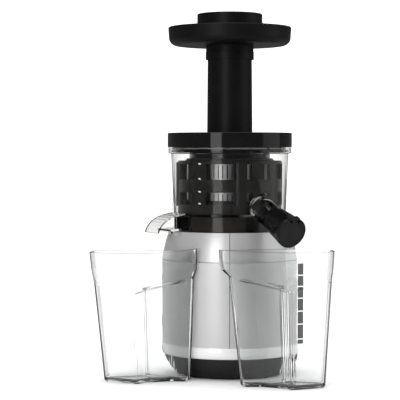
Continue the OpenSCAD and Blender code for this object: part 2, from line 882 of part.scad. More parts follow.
module field_coils() {
    color("#b0662f") for (z = [stator_z - end_turn_h - end_turn_gap, stator_top + end_turn_gap])
        rotate_extrude() polygon(concat(
            arc_points(coil_in_r + edge, z + edge, edge, 270, 180, 3),
            arc_points(coil_in_r + edge, z + end_turn_h - edge, edge, 180, 90, 3),
            arc_points(coil_out_r - edge, z + end_turn_h - edge, edge, 90, 0, 3),
            arc_points(coil_out_r - edge, z + edge, edge, 0, -90, 3)));
}

module run_capacitor() {
    color("#c8c9c4") block(capacitor_size, 0, capacitor_y, foot_floor_z + foot_floor_t);
}

module control_board() {
    color("#1f5a3a") {
        for (x = [-1, 1], y = [-1, 1])
            translate([x * (board_size[0] / 2 - post_r), board_y + y * (board_size[1] / 2 - post_r), 0])
                disc(post_r, foot_floor_z + foot_floor_t, board_lift);
        block(board_size, 0, board_y, foot_floor_z + foot_floor_t + board_lift);
        for (x = [-1, 0, 1]) block(x == 0 ? chip_size : socket_size, x * board_size[0] / 3, board_y,
            foot_floor_z + foot_floor_t + board_lift + board_size[2]);
    }
}

module stadium(r, l, z, h) {
    translate([0, 0, z]) linear_extrude(h) union() {
        circle(r = r);
        translate([0, l]) circle(r = r);
        translate([-r, 0]) square([2 * r, l]);
    }
}

module gear_case() {
    color("#54575b") difference() {
        stadium(case_r, lay_y, case_floor_z, cover_z - case_floor_z);
        stadium(case_r - case_t, lay_y, case_floor_z + case_t, cover_z - case_floor_z);
        disc(shaft_r + edge, case_floor_z - over, case_t + 2 * over);
        translate([0, lay_y, 0]) disc(shaft_r + fit_gap, case_floor_z + edge / 2, case_t + over);
    }
}

module gear_cover() {
    color("#54575b") difference() {
        union() {
            stadium(case_r, lay_y, cover_z, cover_t);
            disc(out_boss_r, cover_z, out_bearing_h);
            translate([0, lay_y, 0]) disc(lay_boss_r, cover_z, lay_end);
        }
        disc(out_bearing_r, cover_z - over, out_bearing_h + 2 * over);
        translate([0, lay_y, 0]) disc(shaft_r + fit_gap, cover_z - over, lay_end);
    }
}

module output_bearings() {
    color("#c4c6c8") for (z = [cover_z, shoulder_top - deck_plate_t]) rotate_extrude() polygon([
        [output_shaft_r + fit_gap, z], [out_race_r, z], [out_race_r, z + edge / 2],
        [out_bearing_r - edge, z + edge / 2], [out_bearing_r - edge, z], [out_bearing_r, z],
        [out_bearing_r, z + out_bearing_h], [out_bearing_r - edge, z + out_bearing_h],
        [out_bearing_r - edge, z + out_bearing_h - edge / 2], [out_race_r, z + out_bearing_h - edge / 2],
        [out_race_r, z + out_bearing_h], [output_shaft_r + fit_gap, z + out_bearing_h]]);
}

module switch_frame() {
    tunnel_w = frame_w - 2 * frame_lip_w - 2 * fit_gap;
    tunnel_h = frame_h - 2 * frame_lip_w - 2 * fit_gap;
    color("#141414") difference() {
        intersection() {
            union() {
                difference() {
                    translate([-frame_w / 2, body_r / 2, rocker_z - frame_h / 2])
                        cube([frame_w, body_r, frame_h]);
                    disc(body_r + fit_gap, 0, sleeve_top);
                }
                translate([-tunnel_w / 2, body_r - frame_depth, rocker_z - tunnel_h / 2])
                    cube([tunnel_w, frame_depth, tunnel_h]);
            }
            disc(body_r + frame_lip, 0, sleeve_top);
        }
        translate([-rocker_w / 2 - rocker_gap, body_r - rocker_sink, rocker_z]) rotate([0, 90, 0])
            cylinder(r = rocker_r + rocker_gap, h = rocker_w + 2 * rocker_gap);
    }
}

module power_switch() {
    color("#d8d8d8") translate([-rocker_w / 2, body_r - rocker_sink, rocker_z]) rotate([90, 0, 90])
        linear_extrude(rocker_w) intersection() {
            circle(r = rocker_r);
            polygon([[-rocker_r, -rocker_r], [rocker_face, -rocker_r], [rocker_face, edge - rocker_r],
                [rocker_sink, 0], [rocker_face, rocker_r - edge], [rocker_face, rocker_r],
                [-rocker_r, rocker_r]]);
        }
}

module cord_gland() {
    color("#161616") translate([0, 0, gland_z]) rotate([-90, 0, 0]) difference() {
        union() {
            translate([0, 0, gland_flange_y + gland_flange_t + wall - gland_l])
                cylinder(r = gland_r - fit_gap, h = gland_l);
            translate([0, 0, gland_flange_y]) cylinder(r = gland_flange_r, h = gland_flange_t);
        }
        translate([0, 0, foot_r]) cylinder(r = gland_bore_r, h = body_r);
    }
}

module motor_rotor() {
    color("#a9adb1") {
        disc(shaft_r, shaft_bottom_z, shaft_top_z - shaft_bottom_z);
        difference() {
            disc(rotor_r, stator_z - rotor_extra, stator_h + 2 * rotor_extra);
            disc(shaft_r, stator_z - rotor_extra - over, stator_h + 2 * rotor_extra + 2 * over);
        }
    }
}

module motor_pinion() {
    color("#8f8f87") translate([0, 0, pinion_z]) difference() {
        gear(pinion_teeth, gear_module, pinion_h - run_gap);
        translate([0, 0, -over]) cylinder(r = shaft_r, h = pinion_h + 2 * over);
    }
}

module cooling_fan() {
    color("#2d2f31") difference() {
        union() {
            disc(fan_hub_r, fan_z, fan_h);
            disc(fan_r, fan_z, fan_blade_t);
            around(fan_blades, 0) translate([fan_hub_r - edge, -fan_blade_t / 2, fan_z])
                cube([fan_r - fan_hub_r, fan_blade_t, fan_h]);
        }
        disc(shaft_r, fan_z - over, fan_h + 2 * over);
    }
}

module layshaft_gears() {
    color("#d9d3c2") translate([0, lay_y, 0]) {
        disc(shaft_r, case_floor_z + edge, cover_z + lay_end - case_floor_z - 3 * edge);
        translate([0, 0, wheel_z]) rotate([0, 0, 90 + 180 / wheel_teeth])
            gear(wheel_teeth, gear_module, gear_w);
        translate([0, 0, wheel_z + gear_w]) rotate([0, 0, -90])
            gear(lay_teeth, lay_module, lay_top_z - wheel_z - gear_w);
    }
}

module output_gear() {
    color("#d9d3c2") translate([0, 0, output_gear_z]) difference() {
        rotate([0, 0, 90 + 180 / output_teeth]) gear(output_teeth, lay_module, output_gear_h - run_gap);
        translate([0, 0, -over]) cylinder(r = output_shaft_r, h = output_gear_h + 2 * over);
        around(web_holes, 0) translate([lay_module * output_teeth / 3, 0, -over])
            cylinder(r = gear_w / 2, h = output_gear_h + 2 * over);
    }
}

module drive_shaft() {
    color("#c2c4c6") {
        disc(output_shaft_r, output_gear_z, deck_top - output_gear_z);
        translate([0, 0, deck_top]) cylinder(r = drive_flats / sqrt(3), h = drive_top - deck_top, $fn = 6);
    }
}

// Bowl: places along the spout are distances from the point where its axis starts
spout_z = floor_z + spout_start_rise;

module along_spout() {
    rotate([0, 0, spout_azimuth - 90]) translate([spout_start_r, 0, spout_z])
        rotate([0, 90 + spout_slope, 0]) children();
}

chute_outer = concat(
    [[chute_start_r, bowl_z + floor_t / 2], [chute_start_r, chute_floor_in_z],
    [chute_mouth_r, chute_floor_out_z], [chute_mouth_r, chute_lip_z], [chute_reach, chute_lip_z]],
    bend([chute_reach, chute_lip_z], [hood_bend_r, hood_bend_z], [hood_root_r, hood_root_z], 8));
chute_inner = concat(
    [[chute_start_r + chute_wall, bowl_z], [chute_start_r + chute_wall, chute_floor_in_z + chute_wall],
    [chute_mouth_r + chute_wall, chute_floor_out_z + chute_wall],
    [chute_mouth_r + chute_wall, chute_lip_z - over], [chute_reach - chute_wall, chute_lip_z - over]],
    bend([chute_reach - chute_wall, chute_lip_z], [hood_bend_r - chute_wall, hood_bend_z - chute_wall],
        [hood_root_r + chute_wall, hood_root_z - chute_wall], 8),
    [[hood_root_r + chute_wall, bowl_z]]);

module chute_slab(outline, w) {
    in_chute_frame() translate([0, w / 2, 0]) rotate([90, 0, 0]) linear_extrude(w) polygon(outline);
}

// The cup without its skirt, solid
module bowl_blank() {
    rotate_extrude() polygon([[0, bowl_z], [bowl_r, bowl_z], [bowl_r, floor_z], [bowl_top_r, flange_z],
        [flange_r, flange_z + edge], [flange_r, bowl_top], [0, bowl_top]]);
}

module juicing_bowl() {
    color("#dfe6ea", 0.35) {
        difference() {
            union() {
                bowl_blank();
                difference() {
                    rotate_extrude() translate([bowl_r - bowl_wall, skirt_z])
                        square([bowl_wall, bowl_z + floor_t / 2 - skirt_z]);
                    chute_slab(chute_outer, chute_w);
                }
                along_spout() translate([0, 0, spout_root_s]) cylinder(r = spout_bore_r + spout_wall,
                    h = spout_root_end - spout_root_s);
                rotate([0, 0, 180 + fin_azimuth]) translate([bowl_r - edge, fin_t / 2, 0])
                    rotate([90, 0, 0]) linear_extrude(fin_t) polygon([[0, floor_z], [fin_d + edge, floor_z],
                        [fin_d * fin_share + edge, floor_z + fin_h / 2], [2 * edge, floor_z + fin_h],
                        [0, floor_z + fin_h]]);
                for (a = [0, 180]) rotate([0, 0, a])
                    translate([flange_r - edge, -tab_w / 2, flange_z + edge])
                        cube([tab_t + edge, tab_w, tab_h]);
            }
            rotate_extrude() polygon([[0, floor_z], [bowl_r - bowl_wall, floor_z],
                [bowl_top_r - bowl_wall, flange_z], [bowl_top_r - bowl_wall, bowl_top + over],
                [0, bowl_top + over]]);
            tube(groove_r, bowl_r - bowl_wall, groove_z, lug_h + 2 * lug_gap);
            around(lug_count, lid_turn)
                sector(groove_r, bowl_r - bowl_wall, groove_z, flange_h, 0, entry_angle);
            along_spout() translate([0, 0, spout_root_s * 2])
                cylinder(r = spout_bore_r, h = spout_root_end);
            in_chute_frame()
                translate([chute_start_r + chute_wall, -chute_w / 2 + chute_wall, bowl_z - over])
                cube([slot_r - chute_start_r - chute_wall, chute_w - 2 * chute_wall, 2 * floor_t + over]);
            disc(collar_bore_r, bowl_z - over, bowl_h);
        }
        tube(collar_r, collar_bore_r, floor_z - floor_t / 2, collar_h + floor_t / 2);
        for (a = post_angles) rotate([0, 0, a]) translate([post_ring, 0, 0])
            disc(post_foot_r, floor_z - floor_t / 2, strainer_z - floor_z + floor_t / 2);
    }
}

// Slab along the sloping channel floor, so far above and below the floor's two faces
function channel_z(r) = mix(chute_floor_in_z, chute_floor_out_z,
    (r - chute_start_r) / (chute_mouth_r - chute_start_r));
function stopper_outline(up, down) = [
    [stopper_in_r, channel_z(stopper_in_r) - down], [stopper_out_r, channel_z(stopper_out_r) - down],
    [stopper_out_r, channel_z(stopper_out_r) + chute_wall + up],
    [stopper_in_r, channel_z(stopper_in_r) + chute_wall + up]];

// The channel hangs under the bowl's floor, and its hood leans on the bowl's wall
module pulp_chute() {
    color("#dfe6ea", 0.35) difference() {
        chute_slab(chute_outer, chute_w);
        bowl_blank();
        chute_slab(chute_inner, chute_w - 2 * chute_wall);
        chute_slab(stopper_outline(over, over), stopper_w);
    }
}

module pulp_stopper() {
    color("#8a8d8f") {
        chute_slab(stopper_outline(0, 0), stopper_w);
        chute_slab([for (p = [[stopper_in_r - stopper_lip, stopper_t],
            [stopper_out_r + stopper_lip, stopper_t], [stopper_out_r + stopper_lip, 0],
            [stopper_in_r - stopper_lip, 0]])
            [p[0], channel_z(p[0]) - p[1]]], stopper_w + 2 * stopper_lip);
    }
}

module bowl_seal() {
    color("#8a8d8f") tube(collar_r, socket_r + run_gap, floor_z + collar_h,
        neck_z - floor_z - collar_h - seat_gap);
}

module at_idlers() {
    for (a = [idler_angle, idler_angle + 180]) rotate([0, 0, a]) translate([idler_ring, 0, 0]) children();
}

module gear_pins() {
    color("#c2c4c6") at_idlers() disc(idler_pin_r, floor_z, idler_pin_h);
}

module idler_gear(angle) {
    color("#2a2a2b") rotate([0, 0, angle]) translate([idler_ring, 0, gear_z]) difference() {
        rotate([0, 0, 180 + 180 / idler_teeth]) gear(idler_teeth, brush_module, brush_gear_h);
        translate([0, 0, -over]) cylinder(r = idler_pin_r + fit_gap, h = brush_gear_h + 2 * over);
    }
}

module idler_gear_rear() {
    idler_gear(idler_angle);
}

module idler_gear_front() {
    idler_gear(idler_angle + 180);
}

module spout_sleeve() {
    color("#151516") along_spout() difference() {
        union() {
            translate([0, 0, sleeve_start]) cylinder(r1 = sleeve_r, r2 = sleeve_end_r, h = sleeve_l);
            for (s = [-1, 1]) hinge_ear(s);
            translate([-pad_w / 2, -sleeve_end_r - pad_t / 3, sleeve_start + sleeve_l / 3])
                cube([pad_w, pad_t * 2, pad_l]);
        }
        translate([0, 0, sleeve_start - over]) cylinder(r = spout_bore_r + spout_wall + sleeve_clear,
            h = spout_root_end - sleeve_start + over + sleeve_clear);
        translate([0, 0, sleeve_start]) cylinder(r = outlet_r, h = sleeve_l + over);
        translate([0, 0, sleeve_start + sleeve_l / 4]) difference() {
            cylinder(r = sleeve_end_r + over, h = ring_groove_w);
            translate([0, 0, -over])
                cylinder(r = sleeve_r - ring_groove_d / 2, h = ring_groove_w + 2 * over);
        }
    }
}

module hinge_ear(s) {
    translate([-pin_up, s * ear_y, sleeve_end + pin_out]) rotate([90, 0, 0])
        difference() {
            union() {
                translate([0, 0, -ear_w / 2]) cylinder(r = knuckle_r, h = ear_w);
                translate([-knuckle_r, -pin_out - edge, -ear_w / 2])
                    cube([2 * knuckle_r, pin_out + edge, ear_w]);
            }
            translate([0, 0, -ear_w]) cylinder(r = pin_r, h = 2 * ear_w);
        }
}

module cap_hinge_pin() {
    color("#c2c4c6") along_spout() translate([-pin_up, 0, sleeve_end + pin_out]) rotate([90, 0, 0])
        translate([0, 0, -knuckle_w / 2 - ear_gap - ear_w])
            cylinder(r = pin_r, h = knuckle_w + 2 * ear_gap + 2 * ear_w);
}

module juice_cap() {
    color("#18181a") along_spout() difference() {
        union() {
            intersection() {
                translate([0, 0, cap_face]) rotate_extrude() polygon(concat([[0, 0], [cap_r, 0]],
                    arc_points(cap_r - edge, cap_t - edge, edge, 0, 90, 4), [[0, cap_t]]));
                translate([-pin_up, -2 * cap_r, 0]) cube([4 * cap_r, 4 * cap_r, cap_face + 2 * cap_t]);
            }
            translate([-pin_up, knuckle_w / 2, sleeve_end + pin_out]) rotate([90, 0, 0])
                cylinder(r = knuckle_r - cap_gap / 2, h = knuckle_w);
        }
        for (s = [-1, 1]) translate([-cap_r - over, s * ear_y - ear_w / 2 - ear_gap, cap_face - over])
            cube([cap_r - pin_up + over + knuckle_r + ear_gap, ear_w + 2 * ear_gap, cap_t + 2 * over]);
        translate([-pin_up, knuckle_w, sleeve_end + pin_out]) rotate([90, 0, 0])
            cylinder(r = pin_r + fit_gap, h = 2 * knuckle_w);
        translate([0, 0, cap_face - over]) cylinder(r = seal_flange_r, h = over + seal_flange_t);
    }
}

module cap_seal() {
    color("#75777a") along_spout() {
        translate([0, 0, cap_face]) cylinder(r = seal_flange_r, h = seal_flange_t);
        translate([0, 0, cap_face - seal_plug_h])
            cylinder(r1 = seal_plug_r - seal_flange_t / 2, r2 = seal_plug_r, h = seal_plug_h);
    }
}

module strainer_frame() {
    color("#1d1d1e") {
        difference() {
            disc(strainer_r, strainer_z, strainer_floor_t);
            disc(strainer_hole_r, strainer_z - over, strainer_floor_t + 2 * over);
            in_chute_frame()
                translate([chute_start_r + chute_wall, -chute_w / 2 + 2 * chute_wall, strainer_z - over])
                cube([slot_r - chute_start_r - chute_wall, chute_w - 4 * chute_wall,
                    strainer_floor_t + 2 * over]);
        }
        tube(strainer_r, hoop_in_r, strainer_z + strainer_floor_t, hoop_h);
        tube(strainer_r, hoop_in_r, mid_hoop_z, mid_hoop_h);
        tube(strainer_r, hoop_in_r, strainer_top - hoop_h, hoop_h);
        around(rib_count, rib_azimuth - 90)
            sector(strainer_r, hoop_in_r, strainer_z + strainer_floor_t,
                strainer_top - strainer_z - strainer_floor_t, 0, rib_angle);
    }
}

module strainer_mesh() {
    color("#b4b7ba") difference() {
        tube(mesh_r + mesh_t, mesh_r, strainer_z + strainer_floor_t,
            strainer_top - strainer_z - strainer_floor_t);
        around(mesh_slits, 180 / mesh_slits)
            for (span = [[window_low, window_low_top], [window_high, window_high_top]])
            translate([mesh_r - over, -mesh_slit_w / 2, span[0] + mesh_band_h / 2])
                cube([mesh_t + 2 * over, mesh_slit_w, span[1] - span[0] - mesh_band_h]);
    }
}

module brush_frame() {
    color("#232324") difference() {
        union() {
            tube(cage_r, cage_in_r, cage_z, cage_top - cage_z);
            tube(cage_r, brush_module * ring_teeth / 2 - brush_module * root_share, cage_z, cage_foot_h);
        }
        translate([0, 0, cage_z - over]) rotate([0, 0, idler_angle + 180 / ring_teeth])
            linear_extrude(cage_foot_h + 2 * over)
            polygon(gear_outline(ring_teeth, brush_module, -tooth_slack, root_share, tip_share));
        around(cage_columns, window_azimuth - 90)
            for (span = [[window_low, window_low_top], [window_high, window_high_top]])
            sector(cage_r + over, cage_in_r - over, span[0], span[1] - span[0], 0, window_angle);
        around(blade_count, blade_azimuth - 90)
            translate([cage_in_r - over, -blade_t / 2 - blade_gap, blade_foot - blade_gap])
                cube([cage_r - cage_in_r + 2 * over, blade_t + 2 * blade_gap,
                    blade_head - blade_foot + 2 * blade_gap]);
    }
}

module wiper_blades() {
    color("#38393b") around(blade_count, blade_azimuth - 90) {
        translate([blade_in_r, -blade_t / 2, blade_foot])
            cube([blade_out_r - blade_in_r, blade_t, blade_head - blade_foot]);
        sector(cage_in_r - blade_gap, cage_in_r - blade_gap - blade_hook_t, blade_foot,
            blade_head - blade_foot, 0, blade_hook_w);
    }
}

// Auger: each ring of points is turned a little further, so the flights climb along the rings
flight_shares = [0, 0.55, 1, 1, 0.62, 0.12];
auger_span = auger_top_z - auger_foot_z;

function auger_core(t) = mix(auger_root_r, auger_tip_r, t * t * (0.55 + 0.45 * t));
function auger_edge(t) = t < flight_fade_share ? auger_r
    : mix(auger_r, flight_top_r, (t - flight_fade_share) / (1 - flight_fade_share));
function flight_at(i, n) = let (start = i % n) start < len(flight_shares) ? flight_shares[start] : 0;
function auger_ring(j) = let (
        t = j / auger_rings,
        core = auger_core(t),
        depth = (auger_edge(t) - core) * min(1, 4 * (1 - t)),
        turn = -360 * auger_span * t / auger_lead)
    [for (i = [0:31]) let (
            side = i < 16 ? 1 : second_depth_share * max(0, 1 - 1.5 * t),
            r = core + depth * flight_at(i, 16) * side,
            a = 360 * i / 32 + turn)
        [r * cos(a), r * sin(a), auger_foot_z + auger_span * t]];
function flat_ring(r, z) = [for (i = [0:31]) [r * cos(360 * i / 32), r * sin(360 * i / 32), z]];

module auger() {
    color("#2b2b2d") ring_solid(concat(
        [flat_ring(socket_r + socket_wall_gap, socket_top), flat_ring(socket_r + socket_wall_gap, neck_z),
        flat_ring(neck_r, neck_z), flat_ring(neck_r, auger_foot_z)],
        [for (j = [0:auger_rings]) auger_ring(j)]));
}

module auger_gear() {
    color("#3a3a3c") translate([0, 0, gear_z]) difference() {
        rotate([0, 0, idler_angle]) gear(sun_teeth, brush_module, brush_gear_h);
        translate([0, 0, -over]) cylinder(r = sun_bore_r, h = brush_gear_h + 2 * over);
    }
}

module auger_socket() {
    color("#c2c4c6") difference() {
        disc(socket_r, socket_z, socket_top - socket_z - seat_gap);
        translate([0, 0, socket_z - over]) cylinder(r = drive_flats / sqrt(3) + 2 * hex_gap / sqrt(3),
            h = drive_top - socket_z + 2 * over, $fn = 6);
    }
}

module auger_pin() {
    color("#c2c4c6") disc(shaft_r, auger_top_z, auger_pin_h);
}

module lid() {
    color("#101011") difference() {
        union() {
            difference() {
                rotate_extrude() polygon(concat([[inner_skirt_r, lid_z], [lid_r, lid_z]],
                    arc_points(lid_r - edge, lid_top - edge, edge, 0, 90, 3), [[inner_skirt_r, lid_top]]));
                disc(lid_r - wall, lid_z - over, lid_h - lid_plate_t + over);
            }
            tube(plug_r, plug_r - plug_t, lid_z - plug_drop, lid_h + plug_drop - lid_plate_t);
            around(lug_count, 0) sector(lug_r, plug_r - over, groove_z + lug_gap, lug_h, 0, lug_angle);
        }
        tube(plug_r + over, seal_in_r, seal_z - fit_gap, seal_h + 2 * fit_gap);
    }
}

// Middle of the lid: top and skirt round the throat, with ribs that carry the boss for the auger's pin
module feed_plate() {
    color("#101011") difference() {
        union() {
            difference() {
                union() {
                    disc(inner_skirt_r, lid_top - lid_plate_t, lid_plate_t);
                    tube(inner_skirt_r, inner_skirt_r - plug_t, lid_z - inner_skirt_drop,
                        lid_h + inner_skirt_drop);
                    for (a = feed_rib_angles) rotate([0, 0, a]) translate([0, -web_t / 2, lid_z - web_t])
                        cube([inner_skirt_r - plug_t / 2, web_t, lid_h + web_t - lid_plate_t / 2]);
                    intersection() {
                        translate([0, tube_offset, 0]) disc(tube_r, lid_z - web_t, lid_h + web_t);
                        disc(inner_skirt_r, lid_z - web_t, lid_h + web_t);
                    }
                }
                translate([0, tube_offset, 0]) disc(tube_bore_r, lid_z - web_t - over, lid_h + 2 * web_t);
            }
            disc(boss_r, lid_z - boss_drop, boss_drop + boss_rise - boss_cone / 2);
            translate([0, 0, lid_z + boss_rise - boss_cone / 2])
                cylinder(r1 = boss_r, r2 = shaft_r, h = boss_cone);
        }
        translate([0, 0, lid_z - boss_drop - over]) cylinder(r = shaft_r + fit_gap,
            h = auger_top_z + auger_pin_h + over - lid_z + boss_drop + run_gap);
    }
}

module feed_tube() {
    color("#101011") translate([0, tube_offset, 0]) difference() {
        union() {
            translate([0, 0, lid_top]) cylinder(r1 = tube_r, r2 = tube_top_r, h = tube_h);
            disc(band_r, tube_top, band_h);
            disc(spigot_r, band_top - over, spigot_h + over);
        }
        disc(tube_bore_r, lid_top - over, tube_h + band_h + spigot_h + 2 * over);
    }
}

module lid_seal() {
    color("#6f7275") tube(bowl_top_r - bowl_wall - run_gap, seal_in_r, seal_z, seal_h);
}

tray_outline = concat(
    [[tray_collar_r, tray_z - tray_collar_h], [tray_collar_r, tray_z]],
    arc_points(tray_r - tray_taper - tray_fillet, tray_z + tray_fillet, tray_fillet, -90, 0, 6),
    [[tray_r, tray_top - tray_taper], [tray_r - tray_taper, tray_top], [tray_r - tray_wall, tray_top]],
    arc_points(tray_r - tray_taper - tray_fillet, tray_z + tray_fillet,
        tray_fillet - tray_floor_t, 0, -90, 6),
    [[tray_bore_r + 2 * tray_wall, tray_z + tray_floor_t],
    [tray_bore_r, tray_z + tray_floor_t - tray_taper],
    [tray_bore_r, tray_z - tray_gap], [spigot_r + run_gap, tray_z - tray_gap],
    [spigot_r + run_gap, tray_z - tray_collar_h]]);

module hopper_tray() {
    color("#121213") translate([0, tube_offset, 0]) rotate_extrude() polygon(tray_outline);
}

module pusher() {
    color("#141415") translate([0, tube_offset, 0]) rotate_extrude() polygon(concat(
        [[pusher_head_r + head_ledge, head_z], [pusher_head_r + head_ledge, head_ledge_z],
        [pusher_head_r, head_ledge_z]],
        arc_points(pusher_head_r - head_round, head_top - head_round, head_round, 0, 90, 4),
        [[dimple_r + dimple_d, head_top], [dimple_r, head_top - dimple_d], [0, head_top - dimple_d],
        [0, head_top - dimple_d - head_wall],
        [pusher_r - rod_wall, head_top - dimple_d - head_wall],
        [pusher_r - rod_wall, rod_bottom + rod_wall],
        [0, rod_bottom + rod_wall], [0, rod_bottom]],
        arc_points(pusher_r - rod_round, rod_bottom + rod_round, rod_round, -90, 0, 4),
        [[pusher_r, head_top - dimple_d - head_wall],
        [pusher_head_r - head_wall, head_top - dimple_d - head_wall],
        [pusher_head_r - head_wall, head_z]]));
}

// Jug outline at one level: its corners from the lip round one side to the far end and back
function jug_corners(l, w, foot_in, far_in, side_d, far_d) = let (
        slope = atan2(w * jug_shares[3][1], l * jug_shares[3][0]),
        side = [for (i = [0:len(jug_shares) - 1]) let (
                deep = side_d * side_recess_shares[i],
                far = far_d * far_recess_shares[i])
            [foot_in + l * jug_shares[i][0] + deep * sin(slope) - far * sin(slope) / 2,
            w * jug_shares[i][1] - deep * cos(slope) - far * cos(slope)]])
    concat([[foot_in, 0]], side, [for (i = [len(side) - 1:-1:0]) [side[i][0], -side[i][1]]]);

function unit(v) = v / norm(v);
function inset_corner(a, p, b, d) = let (
        u = unit(p - a),
        v = unit(b - p),
        m = [u[1], -u[0]],
        n = [v[1], -v[0]])
    p + (m + n) * d / (1 + m * n);
function inset(c, d) = let (n = len(c))
    [for (i = [0:n - 1]) inset_corner(c[(i + n - 1) % n], c[i], c[(i + 1) % n], d)];
function rounded(c, r) = let (n = len(c)) [for (i = [0:n - 1]) let (
        p = c[i],
        a = c[(i + n - 1) % n] - p,
        b = c[(i + 1) % n] - p)
    each bend(p + unit(a) * min(r, norm(a) * corner_reach), p,
        p + unit(b) * min(r, norm(b) * corner_reach), corner_points - 1)];

// One ring of a jug. The jug is its height, length, foot set in at the lip, foot set in at the
// far end, and the level where its recesses end
function jug_ring(jug, rise, z, tilt, side_d, far_d, d) = let (
        h = jug[0],
        l = jug[1],
        t = z / h,
        flare = z < jug[4] ? mix(jug[2], jug[2] * jug_waist_share, z / jug[4])
            : jug[2] * jug_waist_share * pow((h - z) / (h - jug[4]), 2),
        far = jug[3] * (1 - t),
        w = mix(jug_foot_half_w, jug_half_w, t),
        c = inset(jug_corners(l - far - flare, w, flare, far, side_d, far_d), d),
        outline = rounded(c, corner_l),
        n = len(outline))
    [for (i = [n - 1:-1:0]) let (
            p = outline[i],
            near = (l - p[0]) / l,
            lip = rise * pow(max(0, near - 1 + lip_share) / lip_share, 2))
        [p[0], p[1], z + tilt * abs(near - level_share) + lip]];

module jug(jug, rise) {
    h = jug[0];
    waist_z = jug[4];
    deep_z = waist_z - recess_slope;
    inner = jug_wall;
    ring_solid([
        jug_ring(jug, 0, 0, 0, recess_d, far_recess_d, jug_foot_chamfer),
        jug_ring(jug, 0, jug_foot_chamfer, 0, recess_d, far_recess_d, 0),
        jug_ring(jug, 0, deep_z, recess_tilt, recess_d, far_recess_d, 0),
        jug_ring(jug, 0, waist_z, recess_tilt, 0, 0, 0),
        jug_ring(jug, 0, h - 2 * rim_band, 0, 0, 0, 0),
        jug_ring(jug, rise / 2, h - rim_band, 0, 0, 0, 0),
        jug_ring(jug, rise, h, 0, 0, 0, 0),
        jug_ring(jug, rise, h, 0, 0, 0, inner),
        jug_ring(jug, rise / 2, h - rim_band, 0, 0, 0, inner),
        jug_ring(jug, 0, h - 2 * rim_band, 0, 0, 0, inner),
        jug_ring(jug, 0, waist_z, recess_tilt, 0, 0, inner),
        jug_ring(jug, 0, deep_z, recess_tilt, recess_d, far_recess_d, inner),
        jug_ring(jug, 0, jug_floor_t + jug_foot_chamfer, 0, recess_d, far_recess_d, inner),
        jug_ring(jug, 0, jug_floor_t, 0, recess_d, far_recess_d, inner + jug_foot_chamfer)]);
}

module juice_jug() {
    color("#e8eef0", 0.3) translate([juice_tip[0], juice_tip[1], 0]) rotate([0, 0, juice_turn])
        jug([juice_jug_h, juice_jug_l, juice_foot_in, juice_far_in, juice_waist_z], juice_lip_rise);
}

module pulp_jug() {
    color("#e8eef0", 0.3) translate([pulp_tip[0], pulp_tip[1], 0]) rotate([0, 0, pulp_turn])
        jug([pulp_jug_h, pulp_jug_l, pulp_foot_in, pulp_far_in, pulp_waist_z], pulp_lip_rise);
}

base_foot();
bottom_grille();
rubber_feet();
grille_screws();
trim_ring();
body_sleeve();
shoulder_cover();
top_deck();
deck_screws();
deck_seal();
interlock_switch();
motor_bracket_lower();
motor_bracket_upper();
motor_bolts();
motor_bearings();
stator_core();
field_coils();
run_capacitor();
control_board();
gear_case();
gear_cover();
output_bearings();
switch_frame();
cord_gland();
motor_rotor();
motor_pinion();
cooling_fan();
layshaft_gears();
output_gear();
drive_shaft();
power_switch();
juicing_bowl();
pulp_chute();
bowl_seal();
pulp_stopper();
gear_pins();
spout_sleeve();
cap_hinge_pin();
strainer_frame();
strainer_mesh();
brush_frame();
wiper_blades();
idler_gear_rear();
idler_gear_front();
auger();
auger_gear();
auger_socket();
auger_pin();
lid();
feed_plate();
feed_tube();
lid_seal();
hopper_tray();
pusher();
juice_cap();
cap_seal();
juice_jug();
pulp_jug();
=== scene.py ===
import math

import bpy
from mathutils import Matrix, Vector


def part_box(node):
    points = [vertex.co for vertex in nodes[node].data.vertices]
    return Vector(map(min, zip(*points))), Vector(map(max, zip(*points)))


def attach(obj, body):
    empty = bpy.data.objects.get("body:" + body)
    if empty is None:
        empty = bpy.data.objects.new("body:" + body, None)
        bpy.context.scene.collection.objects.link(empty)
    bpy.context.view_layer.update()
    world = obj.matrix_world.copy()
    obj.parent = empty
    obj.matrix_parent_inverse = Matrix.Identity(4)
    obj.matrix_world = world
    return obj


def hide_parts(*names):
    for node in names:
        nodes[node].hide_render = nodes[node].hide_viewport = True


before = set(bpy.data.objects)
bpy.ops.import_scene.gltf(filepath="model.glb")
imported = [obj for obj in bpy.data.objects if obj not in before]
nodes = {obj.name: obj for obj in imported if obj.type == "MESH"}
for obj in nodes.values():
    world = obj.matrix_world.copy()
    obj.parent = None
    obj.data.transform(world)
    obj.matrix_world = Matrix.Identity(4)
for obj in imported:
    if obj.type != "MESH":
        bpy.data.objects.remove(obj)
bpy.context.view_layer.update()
print("frame loaded with", len(nodes), "parts")

mergeWithin = 0.00001
softBelow = 30  # degrees between two faces that still look like one curve


def clearSelection():
    if bpy.context.object and bpy.context.object.mode != "OBJECT":
        bpy.ops.object.mode_set(mode="OBJECT")
    bpy.ops.object.select_all(action="DESELECT")


def selectOnly(*pieces):
    # the first piece becomes the active one
    clearSelection()
    for piece in pieces:
        piece.select_set(True)
    bpy.context.view_layer.objects.active = pieces[0]


def setInMesh():
    # place, turn and size of what is selected go into its mesh
    bpy.ops.object.transform_apply(location=True, rotation=True, scale=True)


def applyAll(piece):
    # modifiers go in first, then the place
    selectOnly(piece)
    for modifier in list(piece.modifiers):
        bpy.ops.object.modifier_apply(modifier=modifier.name)
    setInMesh()


def smoothOver(piece, degrees=softBelow):
    selectOnly(piece)
    bpy.ops.object.shade_smooth_by_angle(angle=math.radians(degrees))


def joinAll(*pieces):
    selectOnly(*pieces)
    bpy.ops.object.join()
    return bpy.context.object


